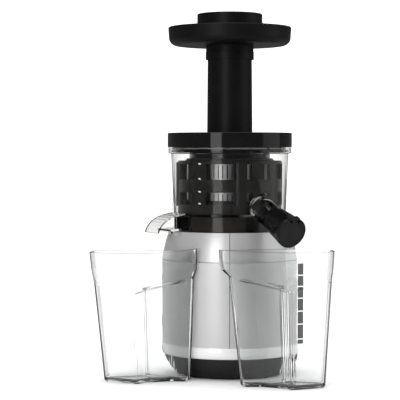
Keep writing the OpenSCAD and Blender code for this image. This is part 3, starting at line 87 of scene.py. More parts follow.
def pickFaces(piece, wanted):
    # face mode comes first, so that the choice holds when edit mode opens
    selectOnly(piece)
    bpy.ops.object.mode_set(mode="EDIT")
    bpy.ops.mesh.select_mode(type="FACE")
    bpy.ops.object.mode_set(mode="OBJECT")
    for face in piece.data.polygons:
        face.select = wanted(face)
    bpy.ops.object.mode_set(mode="EDIT")


def tidySkin(piece):
    # doubles are merged, then every face is turned outwards
    selectOnly(piece)
    bpy.ops.object.mode_set(mode="EDIT")
    bpy.ops.mesh.select_all(action="SELECT")
    bpy.ops.mesh.remove_doubles(threshold=mergeWithin)
    bpy.ops.mesh.normals_make_consistent(inside=False)
    bpy.ops.object.mode_set(mode="OBJECT")


# camera: a long lens a little above the bowl, aimed just left of the machine
view = {"distance": 1.904, "height": 0.262, "lens": 144.0, "sensor": 36.0, "reach": 20.0,
    "aimLeft": 1.064, "aimDown": 1.684}

bpy.ops.object.camera_add(location=(0, -view["distance"], view["height"]))
camera = bpy.context.object
camera.name = "photoCamera"
camera.data.lens = view["lens"]
camera.data.sensor_width = view["sensor"]
camera.data.clip_end = view["reach"]
camera.rotation_euler = (math.radians(90 - view["aimDown"]), 0, math.radians(view["aimLeft"]))
bpy.context.scene.camera = camera
print("camera placed")


# nodes of the shared effects: each helper gives back the socket that holds the result
def feed(tree, value, socket):
    # a socket is wired, and a plain number or colour is set
    if isinstance(value, bpy.types.NodeSocket):
        tree.links.new(value, socket)
    else:
        socket.default_value = value


def groupWith(name, inputs, outputs=("Color", "Roughness", "Height")):
    group = bpy.data.node_groups.new(name, "ShaderNodeTree")
    for label, value in inputs.items():
        kind = "NodeSocketColor" if isinstance(value, tuple) else "NodeSocketFloat"
        socket = group.interface.new_socket(name=label, in_out="INPUT", socket_type=kind)
        socket.default_value = value
    for label in outputs:
        kind = "NodeSocketColor" if label == "Color" else "NodeSocketFloat"
        group.interface.new_socket(name=label, in_out="OUTPUT", socket_type=kind)
    into = group.nodes.new("NodeGroupInput")
    out = group.nodes.new("NodeGroupOutput")
    return group, into.outputs, out.inputs


def objectPlace(tree):
    return tree.nodes.new("ShaderNodeTexCoord").outputs["Object"]


def axesOf(tree, vector):
    split = tree.nodes.new("ShaderNodeSeparateXYZ")
    feed(tree, vector, split.inputs["Vector"])
    return split.outputs


def joinAxes(tree, **parts):
    node = tree.nodes.new("ShaderNodeCombineXYZ")
    for label, value in parts.items():
        feed(tree, value, node.inputs[label])
    return node.outputs["Vector"]


def mathNode(tree, operation, *values):
    node = tree.nodes.new("ShaderNodeMath")
    node.operation = operation
    for place, value in enumerate(values):
        feed(tree, value, node.inputs[place])
    return node.outputs[0]


def noiseNode(tree, vector, scale, detail):
    node = tree.nodes.new("ShaderNodeTexNoise")
    feed(tree, vector, node.inputs["Vector"])
    feed(tree, scale, node.inputs["Scale"])
    node.inputs["Detail"].default_value = detail
    return node.outputs["Fac"]


def rangeNode(tree, value, span, low=0.0, high=1.0):
    node = tree.nodes.new("ShaderNodeMapRange")
    feed(tree, value, node.inputs["Value"])
    node.inputs["From Min"].default_value = span[0]
    node.inputs["From Max"].default_value = span[1]
    feed(tree, low, node.inputs["To Min"])
    feed(tree, high, node.inputs["To Max"])
    return node.outputs["Result"]


def mixColours(tree, factor, a, b):
    node = tree.nodes.new("ShaderNodeMix")
    node.data_type = "RGBA"
    for place, value in ((0, factor), (6, a), (7, b)):
        feed(tree, value, node.inputs[place])
    return node.outputs[2]


def paint(tone):
    # one number stands for a grey, three for a colour
    return (tone, tone, tone, 1) if isinstance(tone, float) else (*tone, 1)


# moulded resin: cloudy tone, touched patches that shine differently, and a fine skin
moulded = {"cloudScale": 38.0, "cloudDetail": 4.0, "cloudSpan": (0.3, 0.7), "patchScale": 17.0,
    "patchDetail": 6.0, "patchSpan": (0.35, 0.7), "grain": 900.0, "grainDetail": 2.0}


def makeMouldedGroup():
    group, into, out = groupWith("mouldedSkin", {"Tone": paint(0.03), "Shade": paint(0.02),
        "Gloss": 0.2, "Dull": 0.3, "Grain": moulded["grain"]})
    place = objectPlace(group)
    clouds = noiseNode(group, place, moulded["cloudScale"], moulded["cloudDetail"])
    patches = noiseNode(group, place, moulded["patchScale"], moulded["patchDetail"])
    spread = rangeNode(group, clouds, moulded["cloudSpan"])
    feed(group, mixColours(group, spread, into["Tone"], into["Shade"]), out["Color"])
    feed(group, rangeNode(group, patches, moulded["patchSpan"], into["Gloss"], into["Dull"]),
        out["Roughness"])
    feed(group, noiseNode(group, place, into["Grain"], moulded["grainDetail"]), out["Height"])
    return group


# metal brushed or turned round the upright axis: fine lines that run level round the part
turned = {"roundScale": 1.3, "lineScale": 1.0, "lineDetail": 3.0, "lineSpan": (0.3, 0.7),
    "cloudScale": 22.0, "cloudDetail": 3.0, "toneSpan": (0.12, 0.4), "lines": 2200.0}


def makeTurnedGroup():
    group, into, out = groupWith("turnedLines", {"Tone": paint(0.6), "Shade": paint(0.5),
        "Gloss": 0.2, "Dull": 0.35, "Lines": turned["lines"]})
    place = objectPlace(group)
    axes = axesOf(group, place)
    turn = mathNode(group, "ARCTAN2", axes["Y"], axes["X"])
    slow = mathNode(group, "MULTIPLY", turn, turned["roundScale"])
    fast = mathNode(group, "MULTIPLY", axes["Z"], into["Lines"])
    lines = noiseNode(group, joinAxes(group, X=slow, Z=fast), turned["lineScale"],
        turned["lineDetail"])
    clouds = noiseNode(group, place, turned["cloudScale"], turned["cloudDetail"])
    both = mathNode(group, "MULTIPLY", lines, clouds)
    spread = rangeNode(group, both, turned["toneSpan"])
    feed(group, mixColours(group, spread, into["Shade"], into["Tone"]), out["Color"])
    feed(group, rangeNode(group, lines, turned["lineSpan"], into["Gloss"], into["Dull"]),
        out["Roughness"])
    feed(group, lines, out["Height"])
    return group


# clear resin: slow waves from the mould, a trace of haze and a few rubbed spots
clearResin = {"waveScale": 9.0, "waveDetail": 1.0, "waveSpan": (0.3, 0.7), "rubScale": 60.0,
    "rubDetail": 5.0, "rubSpan": (0.55, 0.75), "index": 1.49, "blend": 0.5}


def makeClearGroup():
    group, into, out = groupWith("clearMould", {"Tone": paint(1.0),
        "Shade": paint((0.96, 0.97, 0.97)), "Clean": 0.0, "Haze": 0.05})
    place = objectPlace(group)
    waves = noiseNode(group, place, clearResin["waveScale"], clearResin["waveDetail"])
    rubbed = noiseNode(group, place, clearResin["rubScale"], clearResin["rubDetail"])
    spread = rangeNode(group, waves, clearResin["waveSpan"])
    feed(group, mixColours(group, spread, into["Tone"], into["Shade"]), out["Color"])
    feed(group, rangeNode(group, rubbed, clearResin["rubSpan"], into["Clean"], into["Haze"]),
        out["Roughness"])
    feed(group, waves, out["Height"])
    return group


# perforated strainer sheet: rows of small holes round the upright axis
sheet = {"holeSpan": (0.2, 0.45), "metalRough": 0.28, "holeRough": 0.7, "across": 420.0,
    "rows": 5200.0, "metal": 0.62, "hole": 0.05, "bump": 0.3, "depth": 0.0002}


def makeSheetGroup():
    group, into, out = groupWith("piercedSheet", {"Metal": paint(0.5), "Hole": paint(0.03),
        "Across": sheet["across"], "Rows": sheet["rows"]})
    axes = axesOf(group, objectPlace(group))
    turn = mathNode(group, "ARCTAN2", axes["Y"], axes["X"])
    across = mathNode(group, "MULTIPLY", turn, into["Across"])
    rows = mathNode(group, "MULTIPLY", axes["Z"], into["Rows"])
    both = mathNode(group, "MULTIPLY", mathNode(group, "SINE", across),
        mathNode(group, "SINE", rows))
    hole = rangeNode(group, both, sheet["holeSpan"])
    feed(group, mixColours(group, hole, into["Metal"], into["Hole"]), out["Color"])
    feed(group, rangeNode(group, hole, (0.0, 1.0), sheet["metalRough"], sheet["holeRough"]),
        out["Roughness"])
    feed(group, mathNode(group, "SUBTRACT", 1.0, hole), out["Height"])
    return group


# painted shade: a thin dark line painted along the upright joint at the front of the housing,
# standing in for the shade inside its groove
seamShade = {"line": 0.09, "half": 0.0003}


def makeSeamShadeGroup():
    group, into, out = groupWith("seamShadeLine", {"Color": paint(0.6), "Line": paint(seamShade["line"]),
        "Half": seamShade["half"]}, ("Color",))
    axes = axesOf(group, objectPlace(group))
    off = mathNode(group, "ABSOLUTE", axes["X"])
    thin = mathNode(group, "LESS_THAN", off, into["Half"])
    front = mathNode(group, "LESS_THAN", axes["Y"], 0.0)
    line = mathNode(group, "MULTIPLY", thin, front)
    # the thin line of painted shade darkens the colour there
    feed(group, mixColours(group, line, into["Color"], into["Line"]), out["Color"])
    return group


# painted shade: a dark band painted into the clear bowl's colour at the level of its thick clear
# floor, near the axis, where the floor looks dark
floorShadeEdge = {"dark": 0.1, "low": 0.1876, "high": 0.1908, "reach": 0.0674}


def makeFloorShadeBandGroup():
    group, into, out = groupWith("floorShadeBand", {"Color": paint(0.9),
        "Dark": paint(floorShadeEdge["dark"]), "Low": floorShadeEdge["low"], "High": floorShadeEdge["high"],
        "Reach": floorShadeEdge["reach"]}, ("Color",))
    axes = axesOf(group, objectPlace(group))
    fromAxis = group.nodes.new("ShaderNodeVectorMath")
    fromAxis.operation = "LENGTH"
    feed(group, joinAxes(group, X=axes["X"], Y=axes["Y"]), fromAxis.inputs[0])
    above = mathNode(group, "GREATER_THAN", axes["Z"], into["Low"])
    below = mathNode(group, "LESS_THAN", axes["Z"], into["High"])
    near = mathNode(group, "LESS_THAN", fromAxis.outputs["Value"], into["Reach"])
    level = mathNode(group, "MULTIPLY", above, below)
    band = mathNode(group, "MULTIPLY", level, near)
    # the dark band of painted shade takes the place of the resin's colour
    feed(group, mixColours(group, band, into["Color"], into["Dark"]), out["Color"])
    return group


mouldedSkin = makeMouldedGroup()
turnedLines = makeTurnedGroup()
clearMould = makeClearGroup()
piercedSheet = makeSheetGroup()
seamShadeLine = makeSeamShadeGroup()
floorShadeBand = makeFloorShadeBandGroup()


def shaderOf(material):
    return next(n for n in material.node_tree.nodes if n.type == "BSDF_PRINCIPLED")


def finishWith(name, group, values, bump, depth, shader):
    # a material whose colour, shine and relief come from one shared effect
    material = bpy.data.materials.new(name)
    material.use_nodes = True
    tree = material.node_tree
    principled = shaderOf(material)
    effect = tree.nodes.new("ShaderNodeGroup")
    effect.node_tree = group
    effect.location = (-500, 0)
    for label, value in values.items():
        effect.inputs[label].default_value = value
    tree.links.new(effect.outputs["Color"], principled.inputs["Base Color"])
    tree.links.new(effect.outputs["Roughness"], principled.inputs["Roughness"])
    relief = tree.nodes.new("ShaderNodeBump")
    relief.location = (-250, -300)
    relief.inputs["Strength"].default_value = bump
    relief.inputs["Distance"].default_value = depth
    tree.links.new(effect.outputs["Height"], relief.inputs["Height"])
    tree.links.new(relief.outputs["Normal"], principled.inputs["Normal"])
    for label, value in shader.items():
        principled.inputs[label].default_value = value
    return material


def putBefore(material, group):
    # one more effect between the colour that a material has and its shader
    tree = material.node_tree
    baseColour = shaderOf(material).inputs["Base Color"]
    extra = tree.nodes.new("ShaderNodeGroup")
    extra.node_tree = group
    extra.location = (-250, 150)
    tree.links.new(baseColour.links[0].from_socket, extra.inputs["Color"])
    tree.links.new(extra.outputs["Color"], baseColour)


skinDepth = 0.0001


def plastic(name, tone, shade, rough, grain=moulded["grain"], bump=0.12, mirror=0.5,
        metallic=0.0):
    return finishWith(name, mouldedSkin, {"Tone": paint(tone), "Shade": paint(shade),
        "Gloss": rough[0], "Dull": rough[1], "Grain": grain}, bump, skinDepth,
        {"Specular IOR Level": mirror, "Metallic": metallic})


def metal(name, tone, shade, rough, lines=turned["lines"], bump=0.1, metallic=1.0):
    return finishWith(name, turnedLines, {"Tone": paint(tone), "Shade": paint(shade),
        "Gloss": rough[0], "Dull": rough[1], "Lines": lines}, bump, skinDepth,
        {"Metallic": metallic})


def clear(name, tone, shade, edge, edgeFrom, haze=0.02, bump=0.03, depth=0.0004, shine=1.0):
    # clear resin looks darker where the eye meets it edge on
    material = finishWith(name, clearMould, {"Tone": paint(tone), "Shade": paint(shade),
        "Clean": 0.0, "Haze": haze}, bump, depth,
        {"Transmission Weight": 1.0, "IOR": clearResin["index"], "Specular Tint": paint(shine)})
    tree = material.node_tree
    baseColour = shaderOf(material).inputs["Base Color"]
    facing = tree.nodes.new("ShaderNodeLayerWeight")
    facing.inputs["Blend"].default_value = clearResin["blend"]
    facing.location = (-900, 200)
    ramp = rangeNode(tree, facing.outputs["Facing"], (edgeFrom, 1.0))
    plain = baseColour.links[0].from_socket
    tree.links.new(mixColours(tree, ramp, plain, paint(edge)), baseColour)
    return material


# tone and shade are the two ends of the colour, rough the two ends of the shine
plastics = {
    "blackGloss": dict(tone=0.0032, shade=0.0045, rough=(0.07, 0.12), grain=400.0, bump=0.015,
        mirror=0.4),
    "blackMoulded": dict(tone=0.0028, shade=0.004, rough=(0.36, 0.46), grain=1100.0, bump=0.06,
        mirror=0.19),
    "blackSatin": dict(tone=0.005, shade=0.008, rough=(0.26, 0.36), grain=1500.0, bump=0.1,
        mirror=0.34),
    "deckSheen": dict(tone=(0.036, 0.032, 0.029), shade=(0.026, 0.023, 0.021), rough=(0.3, 0.4),
        grain=1500.0, bump=0.03, mirror=0.3, metallic=0.5),
    "charcoalHousing": dict(tone=0.014, shade=0.019, rough=(0.36, 0.46), grain=1800.0, bump=0.2,
        mirror=0.4),
    "castBracket": dict(tone=0.5, shade=0.42, rough=(0.4, 0.58), grain=1400.0, bump=0.35,
        metallic=1.0),
    "capacitorShell": dict(tone=0.62, shade=0.55, rough=(0.3, 0.42)),
    "circuitBoard": dict(tone=(0.02, 0.14, 0.06), shade=(0.015, 0.1, 0.05), rough=(0.25, 0.4)),
    "gearResin": dict(tone=(0.72, 0.67, 0.55), shade=(0.66, 0.6, 0.48), rough=(0.35, 0.5)),
    "darkResin": dict(tone=0.03, shade=0.042, rough=(0.34, 0.5)),
    "caseResin": dict(tone=0.13, shade=0.17, rough=(0.4, 0.52)),
    "switchBody": dict(tone=(0.22, 0.02, 0.02), shade=(0.17, 0.015, 0.015), rough=(0.3, 0.4)),
    "rockerFace": dict(tone=0.6, shade=0.54, rough=(0.2, 0.3)),
    "footRubber": dict(tone=0.018, shade=0.03, rough=(0.7, 0.85), grain=1200.0, bump=0.3),
    "sealSilicone": dict(tone=0.24, shade=0.3, rough=(0.42, 0.55), grain=1100.0, bump=0.1),
    "bladeSilicone": dict(tone=0.03, shade=0.045, rough=(0.45, 0.6), grain=1100.0, bump=0.1),
    "cageResin": dict(tone=(0.012, 0.0108, 0.01), shade=(0.018, 0.0162, 0.015),
        rough=(0.3, 0.42), grain=1300.0, bump=0.1, mirror=0.3),
    "augerResin": dict(tone=0.012, shade=0.018, rough=(0.25, 0.36), grain=1300.0, bump=0.08,
        mirror=0.35),
    "scaleTint": dict(tone=0.09, shade=0.07, rough=(0.3, 0.4), bump=0.02),
    "whitePrint": dict(tone=0.85, shade=0.8, rough=(0.4, 0.5), bump=0.02),
    "signPaint": dict(tone=0.02, shade=0.03, rough=(0.4, 0.5), bump=0.02),
    "studioPaint": dict(tone=0.93, shade=0.91, rough=(0.7, 0.85), grain=60.0, bump=0.02,
        mirror=0.1),
}
metals = {
    "brushedSleeve": dict(tone=0.68, shade=0.63, rough=(0.3, 0.38), lines=9000.0, bump=0.02,
        metallic=0.42),
    "silverShoulder": dict(tone=0.78, shade=0.74, rough=(0.3, 0.38), lines=6000.0, bump=0.02,
        metallic=0.68),
    "brightTrim": dict(tone=0.96, shade=0.93, rough=(0.05, 0.12), lines=1500.0, bump=0.01,
        metallic=0.28),
    "machinedSteel": dict(tone=0.66, shade=0.56, rough=(0.16, 0.3), lines=2600.0, bump=0.12),
    "lamination": dict(tone=0.36, shade=0.2, rough=(0.35, 0.5), lines=5200.0, bump=0.5),
    "windingWire": dict(tone=(0.72, 0.3, 0.12), shade=(0.42, 0.15, 0.05), rough=(0.2, 0.4),
        lines=3800.0, bump=0.8),
}
clears = {
    "clearBowl": dict(tone=(0.93, 0.93, 0.925), shade=(0.9, 0.9, 0.89), edge=(0.16, 0.15, 0.15),
        edgeFrom=0.8, shine=0.3),
    "clearNeck": dict(tone=(0.92, 0.91, 0.89), shade=(0.8, 0.78, 0.75), edge=(0.08, 0.07, 0.06),
        edgeFrom=0.6, bump=0.5, depth=0.002, shine=0.6),
    "clearRim": dict(tone=(0.74, 0.75, 0.75), shade=(0.68, 0.69, 0.69), edge=(0.4, 0.41, 0.41),
        edgeFrom=0.8, haze=0.05),
    "clearJug": dict(tone=(0.985, 0.99, 0.99), shade=(0.97, 0.975, 0.975),
        edge=(0.2, 0.21, 0.21), edgeFrom=0.84),
}

looks = {}
for maker, rows in ((plastic, plastics), (metal, metals), (clear, clears)):
    for name, values in rows.items():
        looks[name] = maker(name, **values)
looks["strainerSheet"] = finishWith("strainerSheet", piercedSheet,
    {"Metal": paint(sheet["metal"]), "Hole": paint(sheet["hole"]), "Across": sheet["across"],
        "Rows": sheet["rows"]}, sheet["bump"], sheet["depth"], {"Metallic": 1.0})
# the sleeve and the shoulder get the painted shade line of the front joint
putBefore(looks["brushedSleeve"], seamShadeLine)
putBefore(looks["silverShoulder"], seamShadeLine)
# the clear bowl gets the band of painted shade at its floor
putBefore(looks["clearBowl"], floorShadeBand)

# which finish each part of the machine wears
finishOf = {
    "blackGloss": ["lid", "feed_plate", "spout_sleeve"],
    "blackMoulded": ["feed_tube", "hopper_tray", "pusher"],
    "blackSatin": ["switch_frame", "juice_cap"],
    "deckSheen": ["top_deck"],
    "charcoalHousing": ["base_foot", "bottom_grille"],
    "brushedSleeve": ["body_sleeve"],
    "silverShoulder": ["shoulder_cover"],
    "brightTrim": ["trim_ring"],
    "machinedSteel": ["grille_screws", "deck_screws", "motor_bolts", "motor_bearings",
        "output_bearings", "motor_rotor", "motor_pinion", "drive_shaft", "gear_pins",
        "cap_hinge_pin", "auger_socket", "auger_pin"],
    "castBracket": ["motor_bracket_lower", "motor_bracket_upper"],
    "lamination": ["stator_core"],
    "windingWire": ["field_coils"],
    "capacitorShell": ["run_capacitor"],
    "circuitBoard": ["control_board"],
    "gearResin": ["layshaft_gears", "output_gear"],
    "darkResin": ["cooling_fan", "idler_gear_rear", "idler_gear_front", "auger_gear"],
    "caseResin": ["gear_case", "gear_cover"],
    "switchBody": ["interlock_switch"],
    "rockerFace": ["power_switch"],
    "footRubber": ["rubber_feet", "cord_gland"],
    "sealSilicone": ["deck_seal", "bowl_seal", "pulp_stopper", "lid_seal", "cap_seal"],
    "bladeSilicone": ["wiper_blades"],
    "cageResin": ["strainer_frame", "brush_frame"],
    "augerResin": ["auger"],
    "strainerSheet": ["strainer_mesh"],
    "clearBowl": ["juicing_bowl", "pulp_chute"],
    "clearJug": ["juice_jug", "pulp_jug"],
}
for look, wearers in finishOf.items():
    for wearer in wearers:
        nodes[wearer].data.materials.clear()
        nodes[wearer].data.materials.append(looks[look])
print("finishes given to", sum(len(w) for w in finishOf.values()), "parts")


# studio: white paper floor, white air, and soft lamps that draw the long highlights
studio = {"floorSize": 14, "floorDrop": 0.0002, "air": 1.35, "fill": 1.4, "gloss": 0.11,
    "glossBack": 0.9, "sideDim": 0.45, "sideSpan": (0.72, 0.97), "topDim": 0.3,
    "topSpan": (0.35, 0.75), "backSpan": (0.3, 0.75)}

bpy.ops.mesh.primitive_plane_add(size=studio["floorSize"], location=(0, 0, -studio["floorDrop"]))
floor = bpy.context.object
floor.name = "studioFloor"
floor.data.materials.append(looks["studioPaint"])


def makeAir():
    # seen straight on, the air is white, and it fills shadows softly
    # in a shine it is dim, but for the white paper behind the machine
    # through clear resin it is white, less so at the sides and overhead
    air = bpy.data.worlds.new("studioAir")
    bpy.context.scene.world = air
    air.use_nodes = True
    tree = air.node_tree
    background = tree.nodes["Background"]
    path = tree.nodes.new("ShaderNodeLightPath").outputs
    axes = axesOf(tree, tree.nodes.new("ShaderNodeTexCoord").outputs["Generated"])
    sideways = mathNode(tree, "ABSOLUTE", axes["X"])
    side = rangeNode(tree, sideways, studio["sideSpan"], studio["air"], studio["sideDim"])
    high = rangeNode(tree, axes["Z"], studio["topSpan"], 1.0, studio["topDim"])
    through = mathNode(tree, "MULTIPLY", side, high)
    behind = rangeNode(tree, axes["Y"], studio["backSpan"])
    resin = mathNode(tree, "MINIMUM", path["Transmission Depth"], 1.0)
    inside = mathNode(tree, "MULTIPLY", behind, resin)
    shine = rangeNode(tree, inside, (0.0, 1.0), studio["gloss"], studio["glossBack"])
    level = studio["air"]
    for ray, value in (("Is Transmission Ray", through), ("Diffuse Depth", studio["fill"]),
            ("Glossy Depth", shine)):
        pick = tree.nodes.new("ShaderNodeMix")
        for place, source in ((0, path[ray]), (2, level), (3, value)):
            feed(tree, source, pick.inputs[place])
        level = pick.outputs[0]
    background.inputs["Color"].default_value = paint(1.0)
    tree.links.new(level, background.inputs["Strength"])


makeAir()


def addLamp(name, place, aim, size, power):
    bpy.ops.object.light_add(type="AREA", location=place)
    lamp = bpy.context.object
    lamp.name = name
    lamp.data.shape = "RECTANGLE"
    lamp.data.size = size[0]
    lamp.data.size_y = size[1]
    lamp.data.energy = power
    lamp.visible_camera = False
    toward = Vector(aim) - Vector(place)
    lamp.rotation_euler = toward.to_track_quat("-Z", "Y").to_euler()


lamps = {
    "keySoftbox": dict(place=(-0.66, -1.45, 0.42), aim=(0, 0, 0.26), size=(0.56, 1.5), power=6),
    "sideSoftbox": dict(place=(1.6, -0.2, 0.5), aim=(0, 0, 0.25), size=(1.2, 1.6), power=3),
    "topSoftbox": dict(place=(0.0, 0.1, 1.9), aim=(0, 0, 0.2), size=(1.6, 1.4), power=8),
}
for name, values in lamps.items():
    addLamp(name, **values)
print("studio set")


def dress(piece, name, look, body):
    piece.name = name
    piece.data.name = name
    piece.data.materials.clear()
    piece.data.materials.append(looks[look])
    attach(piece, body)


def layOn(target, place, size, cells, thick, turn=0.0, back=False):
    # a small patch is laid on a wall from the front or the back, then given its thickness
    clearSelection()
    upright = math.radians(-90 if back else 90)
    bpy.ops.mesh.primitive_grid_add(x_subdivisions=cells[0], y_subdivisions=cells[1], size=1,
        location=place, rotation=(upright, 0, 0))
    patch = bpy.context.object
    patch.scale = (size[0], size[1], 1)
    bpy.ops.object.transform_apply(location=False, rotation=False, scale=True)
    patch.rotation_euler = (upright, math.radians(turn), 0)
    bpy.ops.object.transform_apply(location=True, rotation=True, scale=False)
    wrap = patch.modifiers.new("layFlat", "SHRINKWRAP")
    wrap.target = target
    wrap.wrap_method = "PROJECT"
    wrap.use_project_y = True
    wrap.use_negative_direction = back
    wrap.use_positive_direction = not back
    skin = patch.modifiers.new("skin", "SOLIDIFY")
    skin.thickness = thick
    skin.offset = 1.0
    applyAll(patch)
    tidySkin(patch)
    return patch


# measuring scale on the wall of the juice jug
scale = {"x": 0.078, "frontY": -0.175, "low": 0.0515, "high": 0.1405, "wide": 0.0062,
    "cells": (4, 30), "thick": 0.00025}
ticks = {"levels": [0.1275, 0.1152, 0.1020, 0.0877, 0.0733, 0.0568], "aside": 0.0006,
    "size": (0.0086, 0.0011), "cells": (6, 1), "thick": 0.0005}

scaleStrip = layOn(nodes["juice_jug"],
    (scale["x"], scale["frontY"], (scale["low"] + scale["high"]) / 2),
    (scale["wide"], scale["high"] - scale["low"]), scale["cells"], scale["thick"])
dress(scaleStrip, "juiceScaleStrip", "scaleTint", "juice_vessel")
scaleTicks = joinAll(*[layOn(nodes["juice_jug"],
    (scale["x"] + ticks["aside"], scale["frontY"], level), ticks["size"], ticks["cells"],
    ticks["thick"]) for level in ticks["levels"]])
dress(scaleTicks, "juiceScaleTicks", "whitePrint", "juice_vessel")

# level marks on the wall of the bowl
marks = {"x": -0.0347, "frontY": -0.12, "levels": [0.2494, 0.2321, 0.2172, 0.2034],
    "size": (0.0027, 0.0010), "cells": (3, 1), "thick": 0.0002, "turn": 12}

bowlMarks = joinAll(*[layOn(nodes["juicing_bowl"], (marks["x"], marks["frontY"], level),
    marks["size"], marks["cells"], marks["thick"], marks["turn"]) for level in marks["levels"]])
dress(bowlMarks, "bowlMarks", "whitePrint", "bowl")

# line on the upper end of the rocker
sign = {"size": (0.0009, 0.0036), "above": 0.0045, "behind": 0.02, "cells": (1, 4),
    "thick": 0.00015}

low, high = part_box("power_switch")
rockerLine = layOn(nodes["power_switch"],
    ((low[0] + high[0]) / 2, high[1] + sign["behind"], (low[2] + high[2]) / 2 + sign["above"]),
    sign["size"], sign["cells"], sign["thick"], back=True)
dress(rockerLine, "rockerLine", "signPaint", "rocker")
print("marks laid on")


def turnedSkin(profile, sides):
    # closed skin turned round Z: a circle goes from one point of the profile to the next
    clearSelection()
    bpy.ops.mesh.primitive_circle_add(vertices=sides, radius=profile[0][0],
        location=(0, 0, profile[0][1]))
    piece = bpy.context.object
    setInMesh()
    bpy.ops.object.mode_set(mode="EDIT")
    bpy.ops.mesh.select_all(action="SELECT")
    radius, height = profile[0]
    for nextRadius, nextHeight in profile[1:] + profile[:1]:
        rise = (0, 0, nextHeight - height)
        bpy.ops.mesh.extrude_region_move(TRANSFORM_OT_translate={"value": rise})
        grow = nextRadius / radius
        bpy.ops.transform.resize(value=(grow, grow, 1), center_override=(0, 0, nextHeight))
        radius, height = nextRadius, nextHeight
    bpy.ops.object.mode_set(mode="OBJECT")
    tidySkin(piece)
    return piece


# juice spout: it leaves the bowl at an angle and slopes down to the cap
spout = {"azimuth": -57, "slope": 23, "start": 0.060, "z": 0.2008, "sides": 96}


def setOnSpout(piece):
    turn = math.radians(spout["azimuth"])
    piece.location = (spout["start"] * math.cos(turn), spout["start"] * math.sin(turn),
        spout["z"])
    piece.rotation_euler = (0, math.radians(90 + spout["slope"]), turn)
    selectOnly(piece)
    setInMesh()


# clear neck that widens towards the bowl, cut to the curve of the wall
neck = {"innerR": 0.01118, "wideR": 0.0158, "midR": 0.0142, "endR": 0.0124, "from": -0.004,
    "mid": 0.020, "to": 0.0362, "softBelow": 35}
bowlWall = {"lowR": 0.0655, "highR": 0.0682, "from": 0.160, "to": 0.230, "sides": 192}

spoutNeck = turnedSkin([(neck["innerR"], neck["from"]), (neck["wideR"], neck["from"]),
    (neck["midR"], neck["mid"]), (neck["endR"], neck["to"]), (neck["innerR"], neck["to"])],
    spout["sides"])
setOnSpout(spoutNeck)
clearSelection()
bpy.ops.mesh.primitive_cone_add(vertices=bowlWall["sides"], radius1=bowlWall["lowR"],
    radius2=bowlWall["highR"], depth=bowlWall["to"] - bowlWall["from"],
    location=(0, 0, (bowlWall["to"] + bowlWall["from"]) / 2))
wallCutter = bpy.context.object
trim = spoutNeck.modifiers.new("wallTrim", "BOOLEAN")
trim.operation = "DIFFERENCE"
trim.solver = "EXACT"
trim.object = wallCutter
applyAll(spoutNeck)
selectOnly(wallCutter)
bpy.ops.object.delete()
tidySkin(spoutNeck)
smoothOver(spoutNeck, neck["softBelow"])
dress(spoutNeck, "spoutNeck", "clearNeck", "bowl")

# black sleeve with its two ring steps
sleeve = {"from": 0.0352, "to": 0.069, "boreR": 0.0115, "fitR": 0.01125, "fitTo": 0.0444,
    "startR": 0.0146, "endR": 0.0177, "step": 0.0006, "edge": 0.0005, "rings": [0.0405, 0.0520]}

edge = sleeve["edge"]
profile = [(sleeve["fitR"], sleeve["from"]), (sleeve["startR"] - edge, sleeve["from"]),
    (sleeve["startR"], sleeve["from"] + edge)]
for ring in sleeve["rings"]:
    share = (ring - sleeve["from"]) / (sleeve["to"] - sleeve["from"])
    wide = sleeve["startR"] + (sleeve["endR"] - sleeve["startR"]) * share
    profile += [(wide, ring), (wide - sleeve["step"], ring + edge),
        (wide - sleeve["step"], ring + 3 * edge), (wide + edge, ring + 4 * edge)]
profile += [(sleeve["endR"], sleeve["to"] - edge), (sleeve["endR"] - edge, sleeve["to"]),
    (sleeve["boreR"], sleeve["to"]), (sleeve["boreR"], sleeve["fitTo"] + edge),
    (sleeve["fitR"], sleeve["fitTo"])]
spoutShell = turnedSkin(profile, spout["sides"])

# rounded ears for the cap's pin: a block whose two far edges are bevelled until they meet
ear = {"x": -0.0156, "y": 0.0055, "wide": 0.0048, "thick": 0.003, "from": 0.0672, "to": 0.0738,
    "round": 0.0022, "segments": 8, "near": 0.0001}


def makeEar(side):
    clearSelection()
    bpy.ops.mesh.primitive_cube_add(size=1,
        location=(ear["x"], side * ear["y"], (ear["from"] + ear["to"]) / 2))
    block = bpy.context.object
    block.scale = (ear["wide"], ear["thick"], ear["to"] - ear["from"])
    setInMesh()
    bpy.ops.object.mode_set(mode="EDIT")
    bpy.ops.mesh.select_all(action="DESELECT")
    bpy.ops.object.mode_set(mode="OBJECT")
    for line in block.data.edges:
        ends = [block.data.vertices[i].co for i in line.vertices]
        far = all(end.z > ear["to"] - ear["near"] for end in ends)
        line.select = far and abs(ends[0].x - ends[1].x) < ear["near"]
    bpy.ops.object.mode_set(mode="EDIT")
    bpy.ops.mesh.select_mode(type="EDGE")
    bpy.ops.mesh.bevel(offset=ear["round"], segments=ear["segments"])
    bpy.ops.object.mode_set(mode="OBJECT")
    return block


# grip frame on the sleeve's side: a block with a sunken panel and eased edges
grip = {"wide": 0.0100, "deep": 0.0030, "long": 0.0150, "from": 0.0500, "out": 0.0168,
    "outward": 0.9, "border": 0.0016, "sink": 0.0010, "edge": 0.0003, "segments": 2}

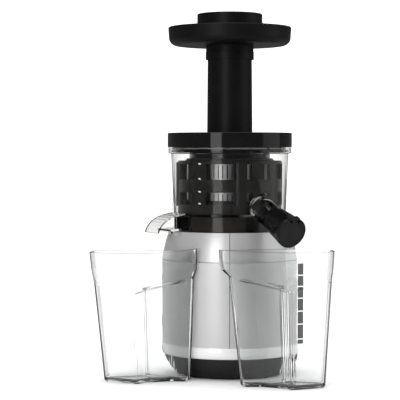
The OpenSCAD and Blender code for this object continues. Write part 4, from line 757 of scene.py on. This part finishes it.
clearSelection()
bpy.ops.mesh.primitive_cube_add(size=1,
    location=(0, -grip["out"], grip["from"] + grip["long"] / 2))
gripFrame = bpy.context.object
gripFrame.scale = (grip["wide"], grip["deep"], grip["long"])
setInMesh()
pickFaces(gripFrame, lambda face: face.normal.y < -grip["outward"])
bpy.ops.mesh.inset(thickness=grip["border"])
bpy.ops.mesh.extrude_region_move(TRANSFORM_OT_translate={"value": (0, grip["sink"], 0)})
bpy.ops.object.mode_set(mode="OBJECT")
ease = gripFrame.modifiers.new("easedEdges", "BEVEL")
ease.width = grip["edge"]
ease.segments = grip["segments"]
applyAll(gripFrame)

spoutShell = joinAll(spoutShell, gripFrame, makeEar(-1), makeEar(1))
setOnSpout(spoutShell)
smoothOver(spoutShell)
dress(spoutShell, "spoutShell", "blackGloss", "bowl")
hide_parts("spout_sleeve")

# soft ring round the strainer's upper rim, under the lid's plate
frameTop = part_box("strainer_frame")[1][2]
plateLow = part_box("feed_plate")[0][2]
rimSeal = {"innerR": 0.0440, "outerR": 0.0515, "lowGap": 0.00005, "highGap": 0.00015,
    "lip": 0.0006, "sides": 128}

sealLow = frameTop + rimSeal["lowGap"]
sealHigh = plateLow - rimSeal["highGap"]
strainerRimSeal = turnedSkin([(rimSeal["innerR"], sealLow), (rimSeal["outerR"], sealLow),
    (rimSeal["outerR"], sealHigh - rimSeal["lip"]),
    (rimSeal["outerR"] - rimSeal["lip"], sealHigh), (rimSeal["innerR"], sealHigh)],
    rimSeal["sides"])
smoothOver(strainerRimSeal)
dress(strainerRimSeal, "strainerRimSeal", "bladeSilicone", "bowl")
print("spout and seal made")


# raised bead round the mouth of each jug: the faces of the rim, lifted by the bead's height
bead = {"height": 0.0006, "above": 0.14, "upward": 0.8}
jugs = {"juice_jug": ("juiceJugBead", "juice_vessel"), "pulp_jug": ("pulpJugBead", "pulp_vessel")}

for jug, (name, body) in jugs.items():
    selectOnly(nodes[jug])
    bpy.ops.object.duplicate()
    rim = bpy.context.object
    pickFaces(rim, lambda face: not (face.normal.z > bead["upward"]
        and face.center.z > bead["above"]))
    bpy.ops.mesh.delete(type="FACE")
    bpy.ops.object.mode_set(mode="OBJECT")
    tidySkin(rim)
    thick = rim.modifiers.new("beadHeight", "SOLIDIFY")
    thick.thickness = bead["height"]
    thick.offset = 1.0
    applyAll(rim)
    tidySkin(rim)
    smoothOver(rim)
    dress(rim, name, "clearRim", body)
print("beads made")

bpy.context.scene.view_settings.view_transform = "Standard"
